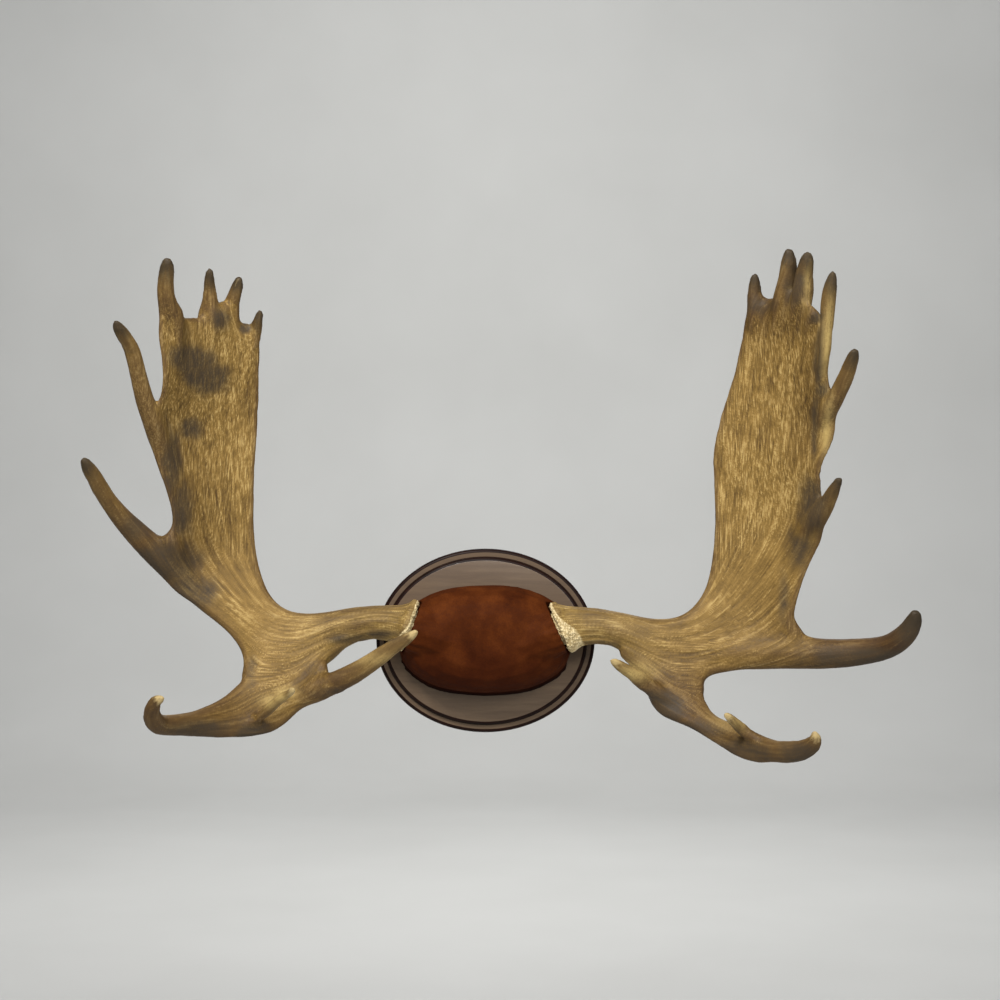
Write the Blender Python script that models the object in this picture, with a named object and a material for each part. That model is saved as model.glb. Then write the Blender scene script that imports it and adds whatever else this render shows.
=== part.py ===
"""Moose antlers on an oval plaque: two antlers on a leather-covered skull cap, to hang on a wall.

Metres, +Z up. The wall is the plane y = 0 and the viewer stands at -Y. Left and right are the
viewer's. Outlines are lists of (x, y, z) in millimetres, and MM turns them into metres.
"""

import math

import bmesh
import bpy
import numpy as np
from mathutils import Matrix, Vector

MM = 0.001
GAP = 0.3 * MM  # clearance between pieces that touch

# Plaque
PLAQUE_WIDTH = 307 * MM
PLAQUE_HEIGHT = 258 * MM
PLAQUE_SIDES = 48
EDGE_HEIGHT = 8 * MM  # straight edge against the wall
LEDGE_HEIGHT = 13 * MM  # ledge inside the rounded edge
FIELD_HEIGHT = 20 * MM  # raised flat field
EDGE_ROUND = 5 * MM
LEDGE_WIDTH = 7 * MM
COVE_WIDTH = 4 * MM

# Leather cover over the skull cap
COVER_WIDTH = 245 * MM
COVER_HEIGHT = 151 * MM
COVER_RISE = 64 * MM  # how far the dome stands off the field
COVER_Z = 3.5 * MM
COVER_SIDES = 40
COVER_FACES = 460
COVER_ARM = 35 * MM  # half height of the leather where it meets a burr

# Burr, where each antler starts, and the stub of pedicle that runs on into the cover
BURR_RING = 31 * MM  # radius of the line that the bead of the burr follows
BURR_BEAD = 6.5 * MM  # radius of the bead itself
BURR_DEPTH = 0.86  # the ring is this much narrower from wall to viewer
BURR_STEP = 7.5 * MM  # from the leather's side of the burr to the middle of its bead
PEDICLE_RADIUS = 23 * MM
PEDICLE_LENGTH = 20 * MM
BURR_CLEARANCE = 41.5 * MM  # radius of leather taken away around a burr
BURR_BACK = 1.5 * MM  # how far behind the burr's line the leather stops

# Antler meshing
VOXEL = 2.6 * MM
RELAX_ROUNDS = 9
CREASE_ROUNDS = 45  # how far the hollows between limbs fill with soft webs
TINE_SIDES = 12
BLADE_SIDES = 18
EDGE_ALLOWANCE = 2.2  # mm added at each edge of a blade, which the smoothing takes off again
KERF = 0.3 * MM  # gap where an antler is split at a main fork

# Screws and hanger at the back
SCREW_SIDES = 10
SKULL_SCREWS = {"top": (0, 38), "left": (-42, -18), "right": (42, -18)}  # x, z in mm
SKULL_SCREW = {"head": 4.6 * MM, "shank": 2.3 * MM, "length": 38 * MM}
HANGER_Z = 86 * MM
HANGER_WIDTH = 20 * MM
HANGER_HEIGHT = 56 * MM
HANGER_THICK = 2 * MM
KEYHOLE_RADIUS = 5 * MM
KEYHOLE_SLOT = 2.5 * MM
KEYHOLE_RISE = 13 * MM
KEYHOLE_DEPTH = 10 * MM
HANGER_SCREW = {"head": 3 * MM, "shank": 1.5 * MM, "length": 14 * MM}
HANGER_SCREW_STEP = 22 * MM  # from the plate's middle to each of its screws

# Each blade is a list of stations: inner or upper edge, outer or lower edge, thickness, cup.
LEFT_BEAM = [
    ((-98, -57, 49), (-112, -57, -5), 52, 0),
    ((-125, -57, 49), (-127, -57, 4), 47, 0),
    ((-160, -58, 48.5), (-160, -60, 8), 44, 0),
    ((-193, -63, 45.5), (-192, -66, -3), 42, 0),
    ((-227, -70, 40), (-219, -74, -28), 38, 0),
]
LEFT_PALM = [
    ((-257, -74, 40), (-274, -84, -38), 32, 2),
    ((-281, -76, 49.5), (-318, -92, -25), 27, 4),
    ((-299, -76, 69), (-340, -100, 10), 24, 6),
    ((-310, -76, 99), (-376, -110, 48), 20, 9),
    ((-317, -76, 136), (-428, -122, 87), 16, 12),
    ((-318, -78, 184), (-417, -137, 165), 14, 14),
    ((-316, -82, 232), (-425, -152, 211), 13, 15),
    ((-312, -86, 280), (-440, -168, 268), 13, 15),
    ((-309, -92, 327), (-430, -182, 319), 12.5, 15),
    ((-307, -100, 372), (-421, -195, 360), 12, 14),
    ((-305, -108, 408), (-425, -205, 402), 12, 13),
    ((-307, -112, 421), (-424, -210, 430), 11, 12),
    ((-325, -118, 439), (-415, -207, 444), 8, 10),
]
LEFT_BROW = [
    ((-323, -88, 6), (-212, -80, 6), 26, 0),
    ((-328, -98, -30), (-222, -92, -39), 26, 0),
    ((-333, -112, -51), (-251, -104, -84), 24, 2),
    ((-350, -132, -67), (-287, -120, -115), 22, 3),
    ((-368, -158, -77), (-345, -148, -119), 20, 2),
    ((-390, -190, -84), (-388, -182, -113), 19, 0),
    ((-408, -222, -84), (-414, -218, -107), 18, 0),
]
RIGHT_BEAM = [
    ((100, -57, 50), (122, -57, -8), 52, 0),
    ((131, -57, 47), (139, -57, 0), 47, 0),
    ((165, -58, 44), (167, -60, 0), 44, 0),
    ((200, -62, 37), (191, -66, -10), 42, 0),
    ((230, -68, 32), (214, -74, -32), 38, 0),
]
RIGHT_PALM = [
    ((257, -72, 33), (250, -84, -62), 32, 2),
    ((279, -74, 42), (306, -88, -40), 28, 4),
    ((295, -75, 60), (354, -95, -30), 25, 6),
    ((306, -76, 81), (407, -104, 7), 22, 8),
    ((312.5, -76, 112), (421, -115, 62), 19, 10),
    ((315, -78, 143), (436, -128, 109), 16, 12),
    ((315, -80, 181), (452, -142, 147), 14, 14),
    ((313.5, -83, 218), (450, -155, 191), 13, 15),
    ((312, -88, 263), (445, -166, 238), 13, 15),
    ((319.5, -94, 307), (462, -183, 288), 12.5, 15),
    ((332, -102, 350), (453, -194, 340), 12, 14),
    ((344, -110, 398), (446, -202, 388), 12, 12),
    ((352, -118, 444), (444, -208, 420), 11.5, 10),
    ((357, -121, 462), (438, -207, 438), 10, 9),
    ((366, -124, 472), (426, -203, 455), 8, 8),
]
RIGHT_BROW = [
    ((301, -84, -21), (226, -80, -29), 26, 0),
    ((298, -100, -54), (221, -94, -61), 26, 0),
    ((299, -116, -78), (236, -108, -91), 24, 2),
    ((313, -136, -95), (272, -128, -105), 22, 3),
    ((337, -160, -103), (308, -152, -126), 20, 2),
    ((360, -188, -112), (341, -182, -143), 18.5, 0),
    ((379, -212, -117), (373, -208, -146), 18, 0),
]

# Each tine is a list of (x, y, z, half width), from its root to its tip. A y of None puts the point
# in the middle of the blade's thickness.
LEFT_TINES = [
    [(-398, None, 320, 3), (-408, None, 394, 10), (-410, None, 437, 17), (-414, -209, 455, 12.5),
     (-415, -218, 476, 11), (-411, -228, 498, 9.5), (-409.5, -235, 510, 5)],
    [(-359, None, 340, 3), (-365, None, 405, 9), (-367, None, 438, 19), (-366, -152, 458, 12),
     (-366, -160, 480, 8), (-365, -168, 494, 6.5), (-363, -172, 504, 4)],
    [(-342, None, 350, 3), (-343, None, 409, 9), (-343, None, 440, 13), (-339, -134, 464, 10),
     (-331, -142, 484, 8), (-328, -147, 496, 4.5)],
    [(-352, None, 400, 8), (-353, None, 440, 16), (-354, -143, 461, 9)],
    [(-325, None, 350, 3), (-316, None, 407, 8), (-311, None, 425, 9), (-306, -122, 439, 7),
     (-302, -126, 454, 3.5)],
    [(-405, None, 200, 4), (-429, None, 262, 13), (-440, None, 305, 14), (-449, -196, 340, 12.5),
     (-457, -220, 390, 10.5), (-466, -240, 411, 9), (-471, -251, 421, 7), (-472, -256, 428, 3.5)],
    [(-405, None, 100, 8), (-422, None, 137, 14), (-428, -138, 154, 9)],
    [(-350, None, 26, 6), (-402, None, 80, 15), (-435, None, 118, 18), (-461, -143, 148, 17.5),
     (-484, -163, 176, 14.5), (-501, -187, 205, 12), (-511, -208, 230, 10.5), (-517, -222, 244, 8),
     (-520, -228, 252, 3.5)],
]
LEFT_BROW_TINES = [
    [(-394, -188, -98, 11), (-421, -228, -94, 14.5), (-426, -255, -77, 11), (-419, -272, -60, 8),
     (-410, -279, -55, 5.5), (-407, -282, -54, 3)],
    [(-300, None, -85, 6), (-262, None, -72, 15), (-223, -112, -58, 17.5), (-189, -122, -43, 15.5),
     (-154, -135, -22, 13), (-127, -147, -2, 10.5), (-106, -156, 11, 8), (-94, -162, 20, 5.5),
     (-89, -165, 24, 3)],
    [(-325, None, -108, 4), (-300, -142, -92, 8), (-278, -158, -72, 7), (-262, -172, -60, 6),
     (-252, -184, -53, 4.5), (-249, -187, -51, 2.5)],
    [(-345, None, -106, 7), (-318, None, -112, 9), (-296, None, -111, 7)],
    [(-252, None, -60, 10), (-230, -98, -38, 13), (-215, -104, -27, 8)],
]
RIGHT_TINES = [
    [(362, None, 400, 3), (365, None, 450, 12), (363, -129, 473, 10), (363, -133, 490, 7.5),
     (362, -137, 501, 4)],
    [(388, None, 358, 3), (394, None, 424, 12), (399, -157, 462, 16.5), (402, -168, 489, 13),
     (402, -177, 512, 10.5), (402, -182, 528.5, 5)],
    [(407, None, 370, 3), (413, None, 435, 12), (419, -182, 463, 15), (420, -192, 492, 12),
     (422, -201, 509, 10), (422, -206, 522, 4.5)],
    [(427, None, 400, 6), (431, None, 428, 12), (433, -206, 441, 8)],
    [(432, None, 250, 3), (441, None, 330, 7), (444, -203, 380, 8), (445, -218, 418, 8.5),
     (445, -234, 456, 10), (447, -243, 477, 8), (449, -249, 491, 4)],
    [(430, None, 225, 4), (446, None, 290, 11), (456, -194, 322, 13), (466, -212, 346, 11),
     (472, -227, 366, 10), (476, -240, 382, 8), (477, -247, 392, 4.5)],
    [(410, None, 100, 4), (432, None, 150, 14), (444, -150, 174, 15), (455, -167, 195, 11),
     (461, -184, 212, 8), (467, -196, 227, 4)],
    [(385, None, 52, 8), (408, None, 30, 12), (432, -106, 5, 10), (455, -110, -6, 8)],
]
RIGHT_LONG_TINE = [
    (290, None, -8, 8), (345, None, -12, 21.5), (415, -98, -10, 22.5), (461, -110, -11, 21),
    (505, -130, -7, 19), (538, -155, 2, 17), (557, -178, 21, 14.5), (564, -193, 39, 11),
    (564, -202, 52, 5.5),
]
RIGHT_BROW_TINES = [
    [(352, None, -127, 11), (385, -222, -130, 15), (410, -248, -124, 13), (422, -263, -112, 10.5),
     (421.5, -270, -103, 6), (418.5, -274, -96, 2.5)],
    [(370, None, -126, 6), (341, -192, -106, 8), (325, -206, -91, 6.5), (316, -213, -83, 4.5),
     (312, -216, -79.5, 2.5)],
    [(262, None, -86, 5), (221, -112, -54, 12), (201, -124, -38, 9.5), (184, -136, -27, 7.5),
     (173, -144, -19, 5.5), (169, -148, -16, 3)],
    [(240, -92, -50, 12), (213, -84, -26, 12.5), (190, -76, -7, 11)],
]

# Where each beam meets the leather: middle of the burr's inner face, in mm, and its upward tilt.
LEFT_BURR = {"middle": (-101.5, -57, 21.5), "side": -1, "rise": math.radians(20)}
RIGHT_BURR = {"middle": (101, -57, 18.5), "side": 1, "rise": math.radians(24)}

# Where each antler is sawn: middle, normal and size of the cut, and a point in the limb cut off
LEFT_FORKS = {
    "brow_palm": {"middle": (-270, -100, -26), "normal": (0, -0.2, -1),
                  "size": (0.16, 0.16), "seed": (-388, -185, -100)},
    "palm": {"middle": (-240, -80, 8), "normal": (-1, 0, 0.1),
             "size": (0.16, 0.16), "seed": (-370, -150, 300)},
}
RIGHT_FORKS = {
    "brow_palm": {"middle": (262, -95, -48), "normal": (-0.2, -0.2, -1),
                  "size": (0.11, 0.11), "seed": (370, -205, -130)},
    "long_tine": {"middle": (414, -100, -5), "normal": (0.75, 0, -0.66),
                  "size": (0.13, 0.13), "seed": (540, -155, 4)},
    "palm": {"middle": (238, -80, 0), "normal": (1, 0, 0.1),
             "size": (0.16, 0.16), "seed": (390, -150, 300)},
}

# Faces kept per antler before it is split
LEFT_FACES = 2800
RIGHT_FACES = 2980


def clear_scene():
    for old in list(bpy.data.objects):
        bpy.data.objects.remove(old, do_unlink=True)


def make_material(name, colour, roughness, metallic=0.0):
    material = bpy.data.materials.new(name)
    material.use_nodes = True
    shader = material.node_tree.nodes["Principled BSDF"]
    shader.inputs["Base Color"].default_value = (*colour, 1.0)
    shader.inputs["Roughness"].default_value = roughness
    shader.inputs["Metallic"].default_value = metallic
    return material


def add_object(name, mesh, material=None):
    thing = bpy.data.objects.new(name, mesh)
    bpy.context.collection.objects.link(thing)
    if material:
        mesh.materials.clear()
        mesh.materials.append(material)
    return thing


def mesh_from(name, points, faces):
    """A mesh with its faces turned outwards."""
    mesh = bpy.data.meshes.new(name)
    mesh.from_pydata([tuple(p) for p in points], [], faces)
    work = bmesh.new()
    work.from_mesh(mesh)
    bmesh.ops.recalc_face_normals(work, faces=work.faces)
    work.to_mesh(mesh)
    work.free()
    return mesh


def finished_mesh(thing):
    """The object's mesh with its modifiers applied, as a mesh of its own."""
    graph = bpy.context.evaluated_depsgraph_get()
    return bpy.data.meshes.new_from_object(thing.evaluated_get(graph))


def apply_modifiers(thing):
    mesh = finished_mesh(thing)
    thing.modifiers.clear()
    thing.data = mesh


def spline(rows, steps):
    """The rows of numbers, with smoothly bending rows between them."""
    rows = np.array(rows, float)
    ends = (2 * rows[0] - rows[1], 2 * rows[-1] - rows[-2])
    padded = np.vstack([ends[0], rows, ends[1]])
    smooth = []
    for first in range(len(rows) - 1):
        a, b, c, d = padded[first:first + 4]
        for step in range(steps):
            t = step / steps
            bend = 2 * b + (c - a) * t + (2 * a - 5 * b + 4 * c - d) * t ** 2
            smooth.append(0.5 * (bend + (3 * b - a - 3 * c + d) * t ** 3))
    smooth.append(rows[-1])
    return np.array(smooth)


def unit(vectors):
    return vectors / np.linalg.norm(vectors, axis=-1, keepdims=True)


def skin(rings):
    """Points and faces of a closed skin through rings of equal length, with a flat cap at each end."""
    count, sides = rings.shape[:2]
    points = rings.reshape(-1, 3)
    faces = []
    for ring in range(count - 1):
        for side in range(sides):
            after = (side + 1) % sides
            faces.append((ring * sides + side, ring * sides + after,
                          (ring + 1) * sides + after, (ring + 1) * sides + side))
    faces.append(tuple(range(sides)))
    faces.append(tuple(range((count - 1) * sides, count * sides)))
    return points, faces


def blade_frame(stations):
    """Along a blade: its middle line, the directions across and to the front, width, thickness, cup."""
    rows = spline([(*inner, *outer, thick, cup) for inner, outer, thick, cup in stations], 3)
    inner = rows[:, 0:3]
    outer = rows[:, 3:6]
    middle = (inner + outer) / 2
    across = unit(outer - inner)
    width = np.linalg.norm(outer - inner, axis=1) + 2 * EDGE_ALLOWANCE
    front = unit(np.cross(across, np.gradient(middle, axis=0)))
    front *= -np.sign(front[:, 1:2])
    return middle, across, front, width, rows[:, 6], rows[:, 7]


def blade(stations):
    """A flattened limb through the stations. Its middle lies back from its edges by the cup."""
    middle, across, front, width, thick, cup = blade_frame(stations)
    rings = []
    for angle in np.linspace(0, math.tau, BLADE_SIDES, endpoint=False):
        side = -math.cos(angle)
        face = math.copysign(abs(math.sin(angle)) ** 0.8, math.sin(angle))
        lift = face * thick / 2 - cup * (1 - side ** 2)
        rings.append(middle + across * (side * width / 2)[:, None] + front * lift[:, None])
    return skin(np.stack(rings, axis=1) * MM)


def seated(stations, blade_stations):
    """The stations of a tine, with each None replaced by the depth of the blade's middle there."""
    middle, across, front, width, _, cup = blade_frame(blade_stations)
    sheet = np.concatenate([middle + across * (side * width / 2)[:, None]
                            - front * (cup * (1 - side ** 2))[:, None]
                            for side in np.linspace(-1, 1, 25)])
    rows = []
    for x, y, z, half in stations:
        if y is None:
            nearest = np.argmin(np.hypot(sheet[:, 0] - x, sheet[:, 2] - z))
            y = sheet[nearest, 1]
        rows.append((x, y, z, half))
    return rows


def tine(stations, thickness=0.78):
    """A pointed limb, a little flatter from front to back than it is wide."""
    rows = spline(stations, 3)
    middle = rows[:, 0:3]
    along = unit(np.gradient(middle, axis=0))
    wide = unit(np.cross(along, (0, 1, 0)))
    deep = np.cross(along, wide)
    half = rows[:, 3:4]
    rings = []
    for angle in np.linspace(0, math.tau, TINE_SIDES, endpoint=False):
        rings.append(middle + half * (wide * math.cos(angle) + deep * math.sin(angle) * thickness))
    return skin(np.stack(rings, axis=1) * MM)


def burr_axes(burr):
    """Outward, upward and wallward directions of a burr."""
    side = burr["side"]
    outward = Vector((side * math.cos(burr["rise"]), 0, math.sin(burr["rise"])))
    upward = Vector((-side * math.sin(burr["rise"]), 0, math.cos(burr["rise"])))
    return outward, upward, Vector((0, 1, 0))


def burr_bead(burr):
    """The lumpy bead around the foot of the beam, as a ring with no caps."""
    outward, upward, wallward = burr_axes(burr)
    centre = Vector(burr["middle"]) * MM + outward * BURR_STEP
    lengths, around = 52, 10
    points = []
    for step in range(lengths):
        turn = math.tau * step / lengths
        bead = BURR_BEAD * (1 + 0.16 * math.sin(13 * turn) + 0.12 * math.sin(7 * turn + 1))
        spoke = upward * math.cos(turn) + wallward * (math.sin(turn) * BURR_DEPTH)
        for corner in range(around):
            lean = math.tau * corner / around
            reach = BURR_RING + bead * math.cos(lean)
            points.append(centre + spoke * reach + outward * (bead * math.sin(lean)))
    faces = []
    for step in range(lengths):
        following = (step + 1) % lengths
        for corner in range(around):
            after = (corner + 1) % around
            faces.append((step * around + corner, step * around + after,
                          following * around + after, following * around + corner))
    return points, faces


def grown_mesh(name, shells, face_count, rounds=RELAX_ROUNDS, crease_rounds=CREASE_ROUNDS):
    """One smooth closed mesh around all of the overlapping shells, with webs in its creases."""
    points = []
    faces = []
    for shell_points, shell_faces in shells:
        faces += [tuple(index + len(points) for index in face) for face in shell_faces]
        points += [tuple(point) for point in shell_points]
    thing = add_object(name, mesh_from(name, points, faces))
    remesh = thing.modifiers.new("one skin", "REMESH")
    remesh.mode = "VOXEL"
    remesh.voxel_size = VOXEL
    apply_modifiers(thing)
    keep_bodies(thing, 1)
    relax(thing.data, rounds)
    fill_creases(thing.data, crease_rounds)
    triangulate(thing.data)
    thin = thing.modifiers.new("fewer faces", "DECIMATE")
    thin.ratio = face_count / len(thing.data.polygons)
    apply_modifiers(thing)
    relax(thing.data, 1)
    return thing


def triangulate(mesh):
    work = bmesh.new()
    work.from_mesh(mesh)
    bmesh.ops.triangulate(work, faces=work.faces)
    work.to_mesh(mesh)
    work.free()


def read_mesh(mesh):
    """The points of a mesh, and a function that averages any such rows over each point's neighbours."""
    count = len(mesh.vertices)
    points = np.empty(count * 3)
    mesh.vertices.foreach_get("co", points)
    edges = np.empty(len(mesh.edges) * 2, int)
    mesh.edges.foreach_get("vertices", edges)
    ends = edges.reshape(-1, 2)
    here = np.concatenate([ends[:, 0], ends[:, 1]])
    there = np.concatenate([ends[:, 1], ends[:, 0]])
    neighbours = np.bincount(here, minlength=count)[:, None]

    def average(rows):
        total = [np.bincount(here, rows[there, axis], count) for axis in range(3)]
        return np.stack(total, axis=1) / neighbours

    return points.reshape(-1, 3), average


def write_mesh(mesh, points):
    mesh.vertices.foreach_set("co", points.ravel())
    mesh.update()


def relax(mesh, rounds):
    """Smooths a mesh with no shrinking, by a pull towards each point's neighbours and a push back."""
    points, average = read_mesh(mesh)
    for strength in (0.5, -0.52) * rounds:
        points += strength * (average(points) - points)
    write_mesh(mesh, points)


def fill_creases(mesh, rounds):
    """Lifts the points that lie in a hollow, and no others, towards their neighbours."""
    points, average = read_mesh(mesh)
    normals = np.empty(len(points) * 3, np.float32)
    for _ in range(rounds):
        mesh.vertex_normals.foreach_get("vector", normals)
        out = normals.reshape(-1, 3)
        lift = ((average(points) - points) * out).sum(axis=1, keepdims=True)
        points += 0.7 * np.maximum(lift, 0) * out
        write_mesh(mesh, points)


def loose_bodies(mesh):
    """Sets of vertex indices that hang together, the largest first."""
    work = bmesh.new()
    work.from_mesh(mesh)
    work.verts.ensure_lookup_table()
    unseen = set(range(len(work.verts)))
    bodies = []
    while unseen:
        body = set()
        queue = [unseen.pop()]
        while queue:
            index = queue.pop()
            body.add(index)
            for edge in work.verts[index].link_edges:
                other = edge.other_vert(work.verts[index]).index
                if other in unseen:
                    unseen.remove(other)
                    queue.append(other)
        bodies.append(body)
    work.free()
    return sorted(bodies, key=len, reverse=True)


def only_body(mesh, body):
    """A copy of the mesh with this body alone."""
    work = bmesh.new()
    work.from_mesh(mesh)
    work.verts.ensure_lookup_table()
    others = [vertex for vertex in work.verts if vertex.index not in body]
    bmesh.ops.delete(work, geom=others, context="VERTS")
    copy = bpy.data.meshes.new(mesh.name)
    work.to_mesh(copy)
    work.free()
    return copy


def keep_bodies(thing, count):
    bodies = loose_bodies(thing.data)[:count]
    thing.data = only_body(thing.data, set().union(*bodies))


def box_mesh(name, size):
    mesh = bpy.data.meshes.new(name)
    work = bmesh.new()
    bmesh.ops.create_cube(work, size=1)
    bmesh.ops.scale(work, vec=size, verts=work.verts)
    work.to_mesh(mesh)
    work.free()
    return mesh


def boolean(thing, other, operation):
    """Joins the other object to this one or cuts it away, and removes the other."""
    change = thing.modifiers.new(operation.lower(), "BOOLEAN")
    change.object = other
    change.operation = operation
    change.solver = "EXACT"
    apply_modifiers(thing)
    bpy.data.objects.remove(other, do_unlink=True)


def split(thing, fork, name):
    """Saws the antler through at a fork. The limb that the seed is in gets its own object."""
    saw = add_object("saw", box_mesh("saw", (*fork["size"], KERF)))
    direction = Vector(fork["normal"]).normalized()
    saw.matrix_world = (Matrix.Translation(Vector(fork["middle"]) * MM)
                        @ direction.to_track_quat("Z", "Y").to_matrix().to_4x4())
    boolean(thing, saw, "DIFFERENCE")
    whole = thing.data
    bodies = loose_bodies(whole)[:2]
    seed = Vector(fork["seed"]) * MM
    reach = [min((whole.vertices[index].co - seed).length for index in body) for body in bodies]
    limb, rest = bodies if reach[0] < reach[1] else bodies[::-1]
    thing.data = only_body(whole, rest)
    return add_object(name, only_body(whole, limb))


def dress(thing, name, material, crease=math.radians(50)):
    """Names the finished object, gives it its material and shades it smooth."""
    thing.name = name
    thing.data.name = name
    thing.data.materials.clear()
    thing.data.materials.append(material)
    thing.data.shade_smooth()
    thing.data.set_sharp_from_angle(angle=crease)


def cylinder(name, radius, foot, head, sides):
    """A closed cylinder from foot to head."""
    run = Vector(head) - Vector(foot)
    mesh = bpy.data.meshes.new(name)
    work = bmesh.new()
    bmesh.ops.create_cone(work, cap_ends=True, segments=sides, radius1=radius, radius2=radius,
                          depth=run.length)
    turn = run.to_track_quat("Z", "Y").to_matrix().to_4x4()
    bmesh.ops.transform(work, verts=work.verts,
                        matrix=Matrix.Translation((Vector(head) + Vector(foot)) / 2) @ turn)
    work.to_mesh(mesh)
    work.free()
    return add_object(name, mesh)


def pedicle(burr, radius, inner_end, outer_end):
    """A round stub on the burr's axis. Both ends are measured outwards from the burr's inner face."""
    outward = burr_axes(burr)[0]
    face = Vector(burr["middle"]) * MM
    return cylinder("pedicle", radius, face + outward * inner_end, face + outward * outer_end, 24)


def antler(prefix, burr, limbs, face_count, forks, material):
    """One antler, grown as one and split at its main forks. A limb is a blade and its tines."""
    shells = [burr_bead(burr)]
    for blade_stations, tines in limbs:
        shells.append(blade(blade_stations))
        shells += [tine(seated(stations, blade_stations)) for stations in tines]
    trunk = grown_mesh(prefix, shells, face_count)
    boolean(trunk, pedicle(burr, PEDICLE_RADIUS, -PEDICLE_LENGTH, BURR_STEP * 2), "UNION")
    for limb_name, fork in forks.items():
        dress(split(trunk, fork, limb_name), f"{prefix}_{limb_name}", material)
    dress(trunk, f"{prefix}_beam", material)


def oval_ring(half_width, half_height, y, sides):
    turns = np.linspace(0, math.tau, sides, endpoint=False)
    return np.stack([half_width * np.cos(turns), np.full(sides, y), half_height * np.sin(turns)], axis=1)


def plaque_profile():
    """(inset from the edge, height off the wall) from the wall forward."""
    profile = [(0, 0), (0, EDGE_HEIGHT)]
    for turn in (30, 60, 90):
        lean = math.radians(turn)
        profile.append((EDGE_ROUND * (1 - math.cos(lean)),
                        EDGE_HEIGHT + (LEDGE_HEIGHT - EDGE_HEIGHT) * math.sin(lean)))
    cove_start = EDGE_ROUND + LEDGE_WIDTH
    step = FIELD_HEIGHT - LEDGE_HEIGHT
    profile.append((cove_start, LEDGE_HEIGHT))
    profile.append((cove_start + COVE_WIDTH * 0.25, LEDGE_HEIGHT + step * 0.5))
    profile.append((cove_start + COVE_WIDTH, FIELD_HEIGHT))
    return profile


def make_plaque(material):
    rings = [oval_ring(PLAQUE_WIDTH / 2 - inset, PLAQUE_HEIGHT / 2 - inset, -height, PLAQUE_SIDES)
             for inset, height in plaque_profile()]
    thing = add_object("plaque", mesh_from("plaque", *skin(np.stack(rings))))
    boolean(thing, hanger_pocket(), "DIFFERENCE")
    boolean(thing, keyhole_pocket(), "DIFFERENCE")
    for x, z in SKULL_SCREWS.values():
        boolean(thing, screw_solid("hole", SKULL_SCREW, x * MM, z * MM, 0, GAP), "DIFFERENCE")
    for z in hanger_screw_heights():
        boolean(thing, screw_solid("hole", HANGER_SCREW, 0, z, HANGER_THICK / 2, GAP), "DIFFERENCE")
    dress(thing, "plaque", material, math.radians(35))


def squared_ring(half_width, half_height, y, sides):
    """An oval ring with fuller corners."""
    turns = np.linspace(0, math.tau, sides, endpoint=False)
    full = 0.86
    across = np.sign(np.cos(turns)) * np.abs(np.cos(turns)) ** full
    upward = np.sign(np.sin(turns)) * np.abs(np.sin(turns)) ** full
    return np.stack([half_width * across, np.full(sides, y), half_height * upward], axis=1)


def cover_dome():
    """The dome itself. It starts behind the field, and the cut along the field gives it a crisp foot."""
    behind = 8 * MM
    rings = []
    for reach in (1.0, 1.0, 0.98, 0.93, 0.84, 0.7, 0.5, 0.25):
        rise = COVER_RISE * (1 - reach ** 3.4) ** 0.45 if rings else -behind
        rings.append(squared_ring(COVER_WIDTH / 2 * reach, COVER_HEIGHT / 2 * reach,
                                  -FIELD_HEIGHT - rise, COVER_SIDES) + (0, 0, COVER_Z))
    return skin(np.stack(rings))


def cover_arm(burr):
    """The leather drawn out over a pedicle as far as its burr."""
    outward = burr_axes(burr)[0]
    face = Vector(burr["middle"])
    stations = []
    for step, swell in ((-85, 0.75), (-50, 0.95), (-20, 1.0), (0, 1.0), (14, 1.0)):
        x, y, z = face + outward * step
        stations.append((x, y, z, COVER_ARM / MM * swell))
    return tine(stations, BURR_DEPTH)


def make_cover(material):
    """The leather over the skull cap, let in for both burrs and their pedicles."""
    arms = [cover_arm(burr) for burr in (LEFT_BURR, RIGHT_BURR)]
    thing = grown_mesh("skull_cover", [cover_dome(), *arms], COVER_FACES, 30, 0)
    board = add_object("board", box_mesh("board", (1, 0.1, 1)))
    board.location.y = 0.05 - FIELD_HEIGHT - GAP
    boolean(thing, board, "DIFFERENCE")
    for burr in (LEFT_BURR, RIGHT_BURR):
        boolean(thing, pedicle(burr, BURR_CLEARANCE, -BURR_BACK, 60 * MM), "DIFFERENCE")
        recess = pedicle(burr, PEDICLE_RADIUS + 2 * GAP, -PEDICLE_LENGTH - GAP, 0)
        boolean(thing, recess, "DIFFERENCE")
    for x, z in SKULL_SCREWS.values():
        boolean(thing, screw_solid("hole", SKULL_SCREW, x * MM, z * MM, 0, GAP), "DIFFERENCE")
    keep_bodies(thing, 1)
    dress(thing, "skull_cover", material)


def screw_solid(name, screw, x, z, sink, swell):
    """A countersunk screw driven forwards from the back, its head sunk by this much.

    With a swell above nothing it is the hole for that screw, open at the wall.
    """
    head = screw["head"] + swell
    shank = screw["shank"] + swell
    cone = screw["head"] - screw["shank"]
    mouth = sink + 0.4 * MM - swell
    profile = [(head, mouth), (head, sink + 0.8 * MM + swell), (shank, sink + cone + 0.8 * MM + swell),
               (shank, screw["length"] - 3 * MM), (0.8 * MM + swell, screw["length"] + swell)]
    if swell:
        profile[0] = (head, -1 * MM)
    rings = [oval_ring(radius, radius, -height, SCREW_SIDES) + (x, 0, z) for radius, height in profile]
    return add_object(name, mesh_from(name, *skin(np.stack(rings))))


def hanger_screw_heights():
    return HANGER_Z + HANGER_SCREW_STEP, HANGER_Z - HANGER_SCREW_STEP


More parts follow.
